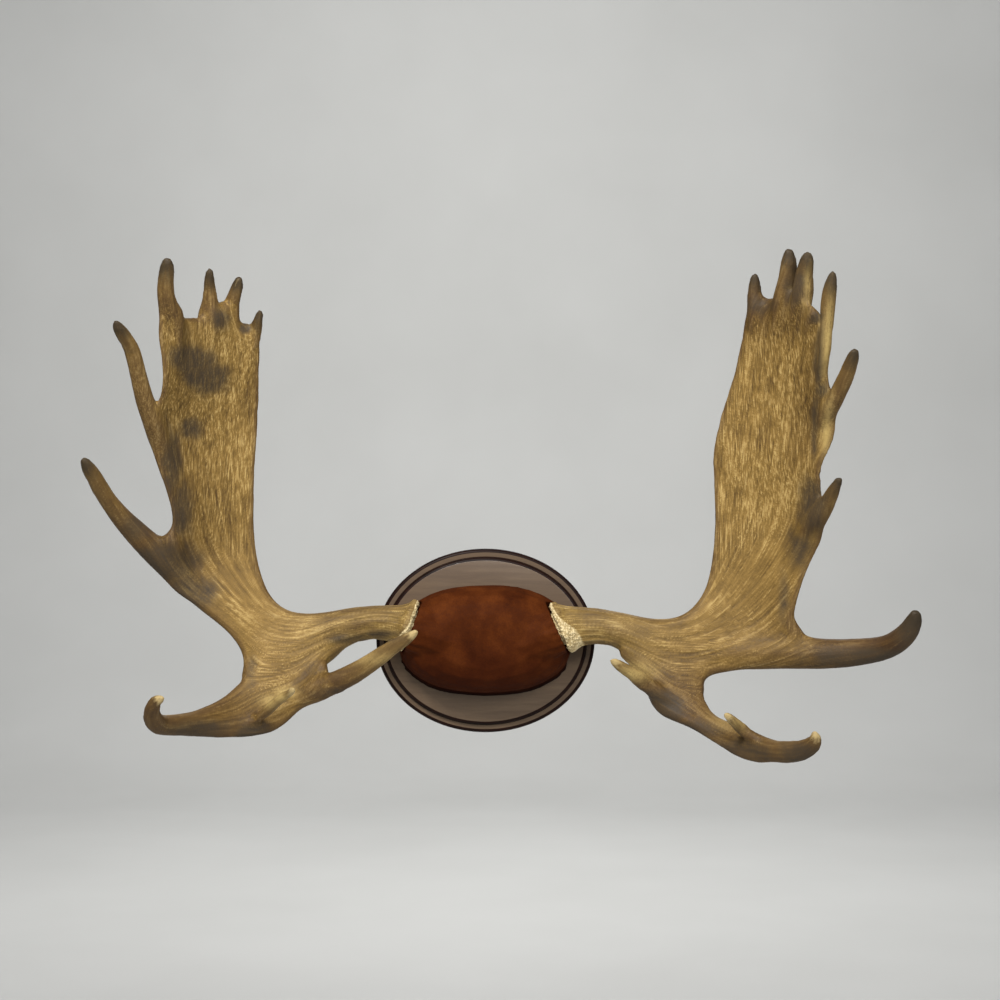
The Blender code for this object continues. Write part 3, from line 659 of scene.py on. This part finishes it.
class Shader:
    """A material's node tree, with short calls for the nodes used here."""

    def __init__(self, name, **values):
        self.material = bpy.data.materials.new(name)
        self.material.use_nodes = True
        self.tree = self.material.node_tree
        self.surface = next(node for node in self.tree.nodes if node.type == "BSDF_PRINCIPLED")
        for socket, value in values.items():
            self.surface.inputs[socket.replace("_", " ")].default_value = value

    def node(self, kind, **settings):
        node = self.tree.nodes.new(kind)
        for name, value in settings.items():
            setattr(node, name, value)
        return node

    def feed(self, socket, value):
        if isinstance(value, bpy.types.NodeSocket):
            self.tree.links.new(value, socket)
        else:
            socket.default_value = value

    def position(self, scale=(1, 1, 1)):
        """The place on the object in metres, stretched along each axis by the scale."""
        mapping = self.node("ShaderNodeMapping")
        mapping.inputs["Scale"].default_value = scale
        self.feed(mapping.inputs["Vector"], self.node("ShaderNodeTexCoord").outputs["Object"])
        return mapping.outputs["Vector"]

    def attribute(self, name):
        return self.node("ShaderNodeAttribute", attribute_name=name).outputs["Fac"]

    def math(self, operation, first, second=0.0, clamp=False):
        node = self.node("ShaderNodeMath", operation=operation, use_clamp=clamp)
        self.feed(node.inputs[0], first)
        self.feed(node.inputs[1], second)
        return node.outputs[0]

    def ranged(self, value, low, high, to_low=0.0, to_high=1.0):
        node = self.node("ShaderNodeMapRange")
        for socket, amount in zip(node.inputs[:5], (value, low, high, to_low, to_high)):
            self.feed(socket, amount)
        return node.outputs[0]

    def noise(self, scale, detail=4.0, roughness=0.55, vector=None, distortion=0.0):
        node = self.node("ShaderNodeTexNoise")
        self.feed(node.inputs["Vector"], vector or self.position())
        self.feed(node.inputs["Scale"], scale)
        self.feed(node.inputs["Detail"], detail)
        self.feed(node.inputs["Roughness"], roughness)
        self.feed(node.inputs["Distortion"], distortion)
        return node.outputs["Fac"]

    def cells(self, scale):
        node = self.node("ShaderNodeTexVoronoi", feature="F1")
        self.feed(node.inputs["Vector"], self.position())
        self.feed(node.inputs["Scale"], scale)
        return node.outputs["Distance"]

    def off_centre(self, value, share=1.0):
        """How far a value from 0 to 1 lies from its middle, times a share."""
        return self.math("MULTIPLY", self.math("SUBTRACT", value, 0.5), share)

    def ramp(self, value, *stops):
        node = self.node("ShaderNodeValToRGB")
        elements = node.color_ramp.elements
        while len(elements) < len(stops):
            elements.new(0.5)
        for element, (place, colour) in zip(elements, stops):
            element.position = place
            element.color = (*colour, 1)
        self.feed(node.inputs["Fac"], value)
        return node.outputs["Color"]

    def mix(self, share, first, second, blend="MIX"):
        node = self.node("ShaderNodeMix", data_type="RGBA", blend_type=blend)
        self.feed(node.inputs["Factor"], share)
        for socket, colour in zip(node.inputs[6:8], (first, second)):
            self.feed(socket, colour if isinstance(colour, bpy.types.NodeSocket) else (*colour, 1))
        return node.outputs[2]

    def finish(self, colour, roughness, *bumps):
        """Each bump is (height, strength, distance)."""
        self.feed(self.surface.inputs["Base Color"], colour)
        self.feed(self.surface.inputs["Roughness"], roughness)
        normal = None
        for height, strength, distance in bumps:
            bump = self.node("ShaderNodeBump")
            bump.inputs["Strength"].default_value = strength
            bump.inputs["Distance"].default_value = distance
            self.feed(bump.inputs["Height"], height)
            if normal:
                self.feed(bump.inputs["Normal"], normal)
            normal = bump.outputs["Normal"]
        self.feed(self.surface.inputs["Normal"], normal)
        return self.material


def antler_material():
    name = "antler_bone"
    if name in bpy.data.materials:
        return bpy.data.materials[name]
    s = Shader(name, IOR=1.5, Specular_IOR_Level=0.25)
    fine, medium, broad = (s.attribute(key) for key in ("fine", "medium", "broad"))
    beam, curvature_shade, blot = (s.attribute(key) for key in ("beam", "curvature_shade", "blot"))
    pearled, bead = s.attribute("pearled"), s.attribute("bead")
    speck = s.noise(420, 3, 0.6)
    cloud = s.noise(16, 5, 0.65)
    patch = s.noise(45, 4, 0.6)

    standing_grain = s.noise(1, 3, 0.6, s.position((640, 640, 18)), 0.2)
    lying_grain = s.noise(1, 3, 0.6, s.position((18, 640, 640)), 0.2)
    tone = s.math("ADD", s.math("MULTIPLY", fine, 0.40), s.math("MULTIPLY", medium, 0.32))
    tone = s.math("ADD", tone, s.math("MULTIPLY", broad, 0.20))
    tone = s.math("ADD", tone, 0.04)
    for grain, strength in ((s.off_centre(standing_grain, s.attribute("standing")), 1.25),
                            (s.off_centre(lying_grain, s.attribute("lying")), 0.9),
                            (s.off_centre(speck), 0.22), (s.off_centre(cloud), 0.75),
                            (s.off_centre(patch), 0.35)):
        tone = s.math("ADD", tone, s.math("MULTIPLY", grain, strength))
    palm = s.ramp(tone, (0.10, (0.092, 0.050, 0.012)), (0.40, (0.178, 0.104, 0.024)),
                  (0.58, (0.252, 0.150, 0.037)), (0.86, (0.480, 0.320, 0.110)))
    pale = s.ramp(tone, (0.10, (0.110, 0.068, 0.018)), (0.40, (0.206, 0.132, 0.038)),
                  (0.58, (0.280, 0.184, 0.055)), (0.86, (0.520, 0.380, 0.150)))
    colour = s.mix(s.math("MULTIPLY", beam, 0.50), palm, pale)
    thread = s.math("MULTIPLY", s.ranged(standing_grain, 0.55, 0.70), s.attribute("standing"))
    thread = s.math("ADD", thread, s.ranged(fine, 0.68, 0.98, 0.0, 0.8), True)
    colour = s.mix(s.math("MULTIPLY", thread, 0.42), colour, (0.560, 0.400, 0.160))
    # darker places: partly the antler's own colour, partly painted shade on lower parts and undersides
    shaded = s.math("MULTIPLY", s.attribute("shade"), s.ranged(tone, 0.25, 0.65, 1.0, 0.80))
    colour = s.mix(shaded, colour, (0.23, 0.165, 0.09), "MULTIPLY")
    # painted shade: darker along convex edges and in hollows and crotches
    colour = s.mix(s.ranged(curvature_shade, 0.1, 0.9, 0.0, 0.50), colour, (0.080, 0.042, 0.018))
    colour = s.mix(s.ranged(curvature_shade, -0.1, -0.8, 0.0, 0.55), colour, (0.060, 0.034, 0.016))
    # dark stains, and the painted shadow lines beside the right palm's ridge
    blotted = s.math("MULTIPLY", blot, s.ranged(s.math("ADD", speck, medium), 0.7, 1.25, 1.0, 0.70), True)
    colour = s.mix(blotted, colour, (0.052, 0.036, 0.020))
    # pale wear, and painted highlights on ridges that face the light
    rubbed_and_highlit = s.math("MULTIPLY", s.attribute("worn_and_highlight"), s.ranged(tone, 0.25, 0.60, 0.45, 1.15))
    colour = s.mix(rubbed_and_highlit, colour, (0.520, 0.370, 0.130))
    uneven = s.math("MULTIPLY", s.math("ADD", cloud, medium), 0.4)
    dark_tip = s.ranged(s.math("ADD", s.attribute("tip_dark"), uneven), 0.50, 1.15, 0.0, 0.88)
    colour = s.mix(dark_tip, colour, (0.036, 0.026, 0.014))
    pale_tip = s.ranged(s.math("ADD", s.attribute("tip_pale"), uneven), 0.6, 1.1, 0.0, 0.75)
    colour = s.mix(pale_tip, colour, (0.560, 0.420, 0.190))
    bony = s.mix(s.ranged(bead, 0.1, 0.7), (0.460, 0.345, 0.165), (0.740, 0.600, 0.340))
    colour = s.mix(s.ranged(pearled, 0.1, 0.6), colour, bony)

    roughness = s.ranged(speck, 0.3, 0.7, 0.50, 0.68)
    roughness = s.math("SUBTRACT", roughness, s.math("MULTIPLY", pale_tip, 0.2))
    pores = s.cells(650)
    return s.finish(colour, roughness, (tone, 0.6, 0.0008), (speck, 0.4, 0.0004), (pores, 0.25, 0.0002))


def leather_material():
    s = Shader("brown_leather", IOR=1.45, Specular_IOR_Level=0.06)
    cloud = s.noise(26, 5, 0.6)
    speck = s.noise(520, 3, 0.6)
    grain = s.cells(720)
    tone = s.math("ADD", cloud, s.math("MULTIPLY", s.math("SUBTRACT", speck, 0.5), 0.35))
    colour = s.ramp(tone, (0.30, (0.036, 0.0072, 0.0010)), (0.50, (0.059, 0.0128, 0.0018)),
                    (0.72, (0.098, 0.0240, 0.0038)))
    # darker towards the bottom: painted shade from the light above, partly the leather's own darker tone
    low = s.attribute("low")
    colour = s.mix(s.math("MULTIPLY", low, 0.55), colour, (0.030, 0.0050, 0.0018))
    # near-black along the cover's foot: painted contact shadow
    colour = s.mix(s.math("MULTIPLY", s.attribute("painted_shadow_hem"), 0.96), colour, (0.005, 0.0015, 0.001))
    roughness = s.ranged(speck, 0.3, 0.7, 0.62, 0.80)
    return s.finish(colour, roughness, (grain, 0.35, 0.0004), (speck, 0.35, 0.0003), (cloud, 0.2, 0.002))


def wood_grain(s, dark, middle, light):
    """Long horizontal grain with fine pores."""
    long_grain = s.noise(1, 6, 0.62, s.position((9, 60, 130)), 0.6)
    pores = s.noise(1, 3, 0.6, s.position((60, 500, 900)))
    figure = s.math("ADD", s.math("MULTIPLY", long_grain, 0.75), s.math("MULTIPLY", pores, 0.25))
    return s.ramp(figure, (0.32, dark), (0.50, middle), (0.68, light)), figure


def lacquer_material():
    s = Shader("dark_lacquered_wood", IOR=1.5, Specular_IOR_Level=0.25, Coat_Weight=0.2, Coat_Roughness=0.12,
               Coat_IOR=1.5)
    colour, figure = wood_grain(s, (0.090, 0.058, 0.035), (0.110, 0.072, 0.043), (0.132, 0.088, 0.053))
    return s.finish(colour, s.ranged(figure, 0.3, 0.7, 0.45, 0.32), (figure, 0.12, 0.0004))


def painted_edge_shade_material():
    """The near-black colour of the rounded edge and of the cove: painted shade, for the dark reflection that
    these curved faces show.
    """
    s = Shader("black_brown_moulding", IOR=1.5, Specular_IOR_Level=0.10)
    colour, figure = wood_grain(s, (0.005, 0.0016, 0.0008), (0.010, 0.003, 0.0015), (0.020, 0.006, 0.003))
    return s.finish(colour, s.ranged(figure, 0.3, 0.7, 0.50, 0.36), (figure, 0.12, 0.0004))


def bare_wood_material():
    s = Shader("stained_back", IOR=1.45, Specular_IOR_Level=0.3)
    colour, figure = wood_grain(s, (0.060, 0.028, 0.015), (0.110, 0.055, 0.030), (0.180, 0.100, 0.058))
    return s.finish(colour, s.ranged(figure, 0.3, 0.7, 0.78, 0.62), (figure, 0.4, 0.0005))


def steel_material():
    s = Shader("zinc_plated_steel", Metallic=1.0)
    brushed = s.noise(1, 4, 0.6, s.position((240, 240, 1800)))
    spangle = s.noise(300, 3, 0.6)
    colour = s.ramp(spangle, (0.3, (0.46, 0.46, 0.44)), (0.7, (0.62, 0.61, 0.57)))
    return s.finish(colour, s.ranged(brushed, 0.3, 0.7, 0.28, 0.48), (brushed, 0.15, 0.0001))


# ---------------------------------------------------------------- leather cover

def make_cover():
    thing = cad_copy("leather_cover", ["skull_cover"])
    voxel_skin(thing, COVER_VOXEL)
    mesh = thing.data
    net = Net(mesh)
    points = net.relaxed(read_points(mesh), 70)
    write_points(mesh, points)
    normals = read_normals(mesh)
    field_y = -(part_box("plaque")[1].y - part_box("plaque")[0].y)
    above = field_y - points[:, 1]  # height over the plaque's field
    noise = ValueNoise(31)
    height = 1.6 * MM * (noise.layered(points, 60 * MM) - 0.5)
    pucker = np.zeros(len(points))
    for burr in BURRS.values():
        outward, up, across = (np.array(axis) for axis in burr_axes(burr))
        offset = points - np.array(burr["middle"])
        along = offset @ outward
        angle = np.arctan2(offset @ up, offset @ across)
        wobble = 2.5 * noise.at(points, 25 * MM)
        near = np.exp(-np.clip(-along, 0, 1) / (16 * MM)) * (np.linalg.norm(offset, axis=1) < 80 * MM)
        pucker += near * np.cos(17 * angle + wobble * 3)
    height += 0.55 * MM * pucker
    height *= smoothstep(1 * MM, 14 * MM, above)
    flat_normals = normals * (1, 0, 1)
    height -= 4.5 * MM * (1 - smoothstep(0, 7 * MM, above)) * (np.abs(normals[:, 1]) < 0.9)
    # the lower foot flares out over the field and is coloured near-black: a painted contact shadow shaped as
    # a dark flange
    under = smoothstep(0, 1, -normals[:, 2]) * (np.abs(normals[:, 1]) < 0.9)
    height += 8 * MM * (1 - smoothstep(2.5 * MM, 5.5 * MM, above)) * under
    write_points(mesh, points + np.where(above[:, None] < 7 * MM, flat_normals, normals) * height[:, None])
    # darker towards the bottom, with noise: painted shade from above, partly the leather's own tone
    low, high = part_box("skull_cover")
    drop = (high.z - points[:, 2]) / (high.z - low.z)
    write_attribute(mesh, "low", smoothstep(0.35, 1.0, drop + 0.25 * (noise.layered(points, 30 * MM) - 0.5)))
    # painted contact shadow: near-black within 7 mm of the field
    write_attribute(mesh, "painted_shadow_hem", 1 - smoothstep(3 * MM, 7 * MM, above))
    mesh.shade_smooth()
    mesh.materials.clear()
    mesh.materials.append(leather_material())
    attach(thing, "root")
    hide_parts("skull_cover")


# ---------------------------------------------------------------- plaque and fittings

def oval_ring(half_width, half_height, y, sides, x=0.0, z=0.0):
    turns = np.arange(sides) * 2 * math.pi / sides
    return np.stack([x + half_width * np.cos(turns), np.full(sides, y), z + half_height * np.sin(turns)],
                    axis=1)


def oval_inset(points, half_width, half_height):
    """How far in from the oval's edge each point lies, along the oval rings."""
    low = np.zeros(len(points))
    high = np.full(len(points), min(half_width, half_height))
    for _ in range(24):
        inset = (low + high) / 2
        outside = np.hypot(points[:, 0] / (half_width - inset), points[:, 2] / (half_height - inset)) > 1
        high = np.where(outside, inset, high)
        low = np.where(outside, low, inset)
    return inset


def lofted(name, rings):
    """A closed object from rings of points that run forward from the wall, with a flat face at each end."""
    sides = len(rings[0])
    points = np.concatenate(rings)
    faces = [tuple(range(sides)), tuple(reversed(range(len(points) - sides, len(points))))]
    for ring in range(len(rings) - 1):
        for side in range(sides):
            after = (side + 1) % sides
            faces.append((ring * sides + side, (ring + 1) * sides + side,
                          (ring + 1) * sides + after, ring * sides + after))
    mesh = bpy.data.meshes.new(name)
    mesh.from_pydata(points.tolist(), [], faces)
    work = bmesh.new()
    work.from_mesh(mesh)
    bmesh.ops.recalc_face_normals(work, faces=work.faces[:])
    work.to_mesh(mesh)
    work.free()
    return add_object(name, mesh)


def cut_away(thing, *cutters):
    for cutter in cutters:
        cut = thing.modifiers.new("cut", "BOOLEAN")
        cut.object = cutter
        cut.operation = "DIFFERENCE"
        cut.solver = "EXACT"
        evaluated(thing)
        bpy.data.objects.remove(cutter)


def plaque_profile(field_height):
    """(inset from the edge, height off the wall) from the wall forward."""
    profile = [(0.6 * MM, 0), (0, 0.6 * MM), (0, EDGE_HEIGHT)]
    for turn in range(10, 100, 10):
        lean = math.radians(turn)
        profile.append((EDGE_ROUND * (1 - math.cos(lean)),
                        EDGE_HEIGHT + (LEDGE_HEIGHT - EDGE_HEIGHT) * math.sin(lean)))
    cove_start = EDGE_ROUND + LEDGE_WIDTH
    profile.append((cove_start - 1.2 * MM, LEDGE_HEIGHT))
    step = field_height - LEDGE_HEIGHT
    for turn in range(0, 91, 15):
        lean = math.radians(turn)
        profile.append((cove_start - 0.4 * MM + COVE_WIDTH * (1 - math.cos(lean)) * 0.9,
                        LEDGE_HEIGHT + (step - 0.8 * MM) * math.sin(lean) ** 0.8))
    profile.append((cove_start + COVE_WIDTH + 0.2 * MM, field_height - 0.25 * MM))
    profile.append((cove_start + COVE_WIDTH + 1.0 * MM, field_height))
    return profile


def round_bar(name, half_width, half_height, back, front, middle_z, sides=16):
    """A flat bar with round ends, from y = -back to y = -front."""
    straight = half_height - half_width
    outline = []
    for end in (1, -1):
        for step in range(sides + 1):
            turn = math.pi * step / sides
            outline.append((end * half_width * math.cos(turn),
                            end * (straight + half_width * math.sin(turn))))
    return lofted(name, [np.array([(x, -height, middle_z + z) for x, z in outline])
                         for height in (back, front)])


def turned(name, profile, x, z, sides=32):
    """A piece turned about a line square to the wall, from (radius, height off the wall)."""
    return lofted(name, [oval_ring(radius, radius, -height, sides, x, z) for radius, height in profile])


def make_plaque():
    low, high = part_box("plaque")
    half_width, half_height = (high.x - low.x) / 2, (high.z - low.z) / 2
    rings = [oval_ring(half_width - inset, half_height - inset, -height, PLAQUE_SIDES)
             for inset, height in plaque_profile(-low.y)]
    thing = lofted("plaque_board", rings)
    plate_low, plate_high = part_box("hanger_plate")
    plate_half = (plate_high - plate_low) / 2
    cutters = [round_bar("pocket", plate_half.x + GAP, plate_half.z + GAP, -1 * MM,
                         -plate_low.y + GAP, HANGER_Z),
               round_bar("pocket", 6 * MM, 13.5 * MM, 0, 10 * MM, HANGER_Z)]
    for x, z in SKULL_SCREWS.values():
        cutters.append(turned("hole", [(4.9 * MM, -1 * MM), (4.9 * MM, 1.1 * MM), (2.6 * MM, 3.4 * MM),
                                       (2.6 * MM, 30 * MM)], x * MM, z * MM))
    for z in (HANGER_Z + HANGER_SCREW_STEP, HANGER_Z - HANGER_SCREW_STEP):
        cutters.append(turned("hole", [(1.8 * MM, 1 * MM), (1.8 * MM, 14.3 * MM)], 0, z, 24))
    cut_away(thing, *cutters)
    thing.data.materials.clear()
    thing.data.materials.append(lacquer_material())
    thing.data.materials.append(bare_wood_material())
    thing.data.materials.append(painted_edge_shade_material())
    middles = np.array([face.center for face in thing.data.polygons])
    insets = oval_inset(middles, half_width, half_height)
    for face, inset in zip(thing.data.polygons, insets):
        inner = math.hypot(face.center.x / half_width, face.center.z / half_height) < 0.85
        if face.normal.y > 0.9 or inner and face.center.y > low.y + 1 * MM:
            face.material_index = 1
        # the rounded edge and the cove take the near-black painted shade
        elif inset < DARK_EDGE or DARK_COVE[0] < inset < DARK_COVE[1]:
            face.material_index = 2
    thing.data.shade_smooth()
    thing.data.set_sharp_from_angle(angle=SHARP_ANGLE)
    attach(thing, "root")
    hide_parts("plaque")


def cross_recess(x, z, reach, back):
    """Two cutters for a crosshead driver's recess."""
    corners = ((1, 1), (-1, 1), (-1, -1), (1, -1))
    bars = []
    for half_x, half_z in ((reach, reach * 0.22), (reach * 0.22, reach)):
        wide = [np.array([(x + half_x * a, y, z + half_z * b) for a, b in corners])
                for y in (1 * MM, -back)]
        deep = np.array([(x + half_x * 0.35 * a, -back - 1.5 * MM, z + half_z * 0.6 * b)
                         for a, b in corners])
        bars.append(lofted("bar", [*wide, deep]))
    return bars


def screw(node, head, shank, length, x, z, steel):
    """A countersunk wood screw with a crosshead, its thread as rounded ridges."""
    back = 0.4 * MM
    cone = head - shank
    profile = [(head * 0.7, back), (head * 0.97, back + 0.1 * MM), (head, back + 0.35 * MM),
               (head, back + 0.5 * MM), (shank, back + cone + 0.5 * MM)]
    pitch = shank * 0.8
    height = back + cone + 0.5 * MM + pitch
    while height < length - 3 * MM:
        profile.append((shank * 0.8, height))
        profile.append((shank, height + pitch * 0.3))
        profile.append((shank * 0.8, height + pitch * 0.6))
        height += pitch
    profile.append((0.4 * MM, length))
    thing = turned(f"{node}_fine", profile, x, z)
    cut_away(thing, *cross_recess(x, z, head * 0.55, back + 0.3 * MM))
    finish_steel(thing, node, steel)


def finish_steel(thing, node, steel):
    thing.data.materials.clear()
    thing.data.materials.append(steel)
    thing.data.shade_smooth()
    thing.data.set_sharp_from_angle(angle=SHARP_ANGLE)
    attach(thing, "root")
    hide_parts(node)


def make_fittings():
    steel = steel_material()
    low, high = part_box("hanger_plate")
    half = (high - low) / 2
    plate = round_bar("keyhole_plate", half.x, half.z, -high.y, -low.y, HANGER_Z, 24)
    bevel = plate.modifiers.new("edge", "BEVEL")
    bevel.width = 0.4 * MM
    bevel.segments = 3
    bevel.limit_method = "ANGLE"
    evaluated(plate)
    through = 5 * MM
    keyhole_z = HANGER_Z - 6.5 * MM
    cut_away(plate, turned("hole", [(5 * MM, -through), (5 * MM, through)], 0, keyhole_z),
             round_bar("slot", 2.5 * MM, 9 * MM, -through, through, HANGER_Z))
    for z in (HANGER_Z + HANGER_SCREW_STEP, HANGER_Z - HANGER_SCREW_STEP):
        cut_away(plate, turned("hole", [(3.3 * MM, -1 * MM), (3.3 * MM, 1.1 * MM), (1.8 * MM, 2.6 * MM),
                                        (1.8 * MM, through)], 0, z))
    finish_steel(plate, "hanger_plate", steel)
    for place, z in (("top", HANGER_Z + HANGER_SCREW_STEP), ("bottom", HANGER_Z - HANGER_SCREW_STEP)):
        screw(f"hanger_screw_{place}", 3 * MM, 1.5 * MM, 14 * MM, 0, z, steel)
    for place, (x, z) in SKULL_SCREWS.items():
        screw(f"skull_screw_{place}", 4.6 * MM, 2.3 * MM, 38 * MM, x * MM, z * MM, steel)


# ---------------------------------------------------------------- stage, light and camera

def make_stage():
    """A plain pale floor that sweeps up into a backdrop far behind."""
    profile = [(-8, 0.0)]
    radius = 2.0
    for step in range(13):
        turn = math.pi / 2 * step / 12
        profile.append((5 + radius * math.sin(turn), radius * (1 - math.cos(turn))))
    profile.append((5 + radius, 9.0))
    mesh = bpy.data.meshes.new("floor")
    points = [(x, y, FLOOR_Z + z) for y, z in profile for x in (-30, 30)]
    faces = [(2 * i, 2 * i + 1, 2 * i + 3, 2 * i + 2) for i in range(len(profile) - 1)]
    mesh.from_pydata(points, [], faces)
    mesh.shade_smooth()
    s = Shader("pale_floor")
    cloud = s.noise(1.5, 3, 0.5)
    mesh.materials.append(s.finish(s.ramp(cloud, (0.3, (0.52, 0.52, 0.50)), (0.7, (0.55, 0.55, 0.53))),
                                   0.9, (cloud, 0.05, 0.002)))
    add_object("floor", mesh)


def area_light(name, place, target, size, power, colour=(1, 1, 1)):
    light = bpy.data.lights.new(name, "AREA")
    light.shape = "DISK"
    light.size = size
    light.energy = power
    light.color = colour
    lamp = add_object(name, light)
    lamp.visible_camera = False
    lamp.location = place
    lamp.rotation_euler = (Vector(target) - Vector(place)).to_track_quat("-Z", "Y").to_euler()


def make_light():
    middle = (0, -0.1, 0.1)
    area_light("key", (-0.9, -2.3, 2.6), middle, 0.8, 112, (1.0, 0.98, 0.95))
    area_light("fill", (2.0, -2.6, 1.6), middle, 1.4, 30, (0.97, 0.98, 1.0))
    area_light("front", (0.2, -3.4, 1.8), middle, 1.3, 46)
    area_light("behind", (0.6, 3.2, 2.2), middle, 1.8, 16)
    area_light("backdrop", (0.0, 2.6, 2.6), (0, 6.5, 0.2), 2.5, 140)
    world = bpy.data.worlds.new("studio")
    bpy.context.scene.world = world
    world.use_nodes = True
    sky = world.node_tree.nodes["Background"]
    sky.inputs["Color"].default_value = (0.93, 0.95, 1.0, 1)
    sky.inputs["Strength"].default_value = 0.30
    bpy.context.scene.view_settings.view_transform = "Standard"


def make_camera():
    camera = bpy.data.cameras.new("camera")
    camera.lens = 72
    camera.sensor_width = 36
    holder = add_object("camera", camera)
    holder.location = (0.0204, -2.82, 0.1975)
    holder.rotation_euler = (math.pi / 2, 0, 0)
    bpy.context.scene.camera = holder


make_camera()
make_stage()
make_light()
for antler_side in ("left", "right"):
    make_antler(antler_side)
make_cover()
make_plaque()
make_fittings()

bpy.context.view_layer.update()
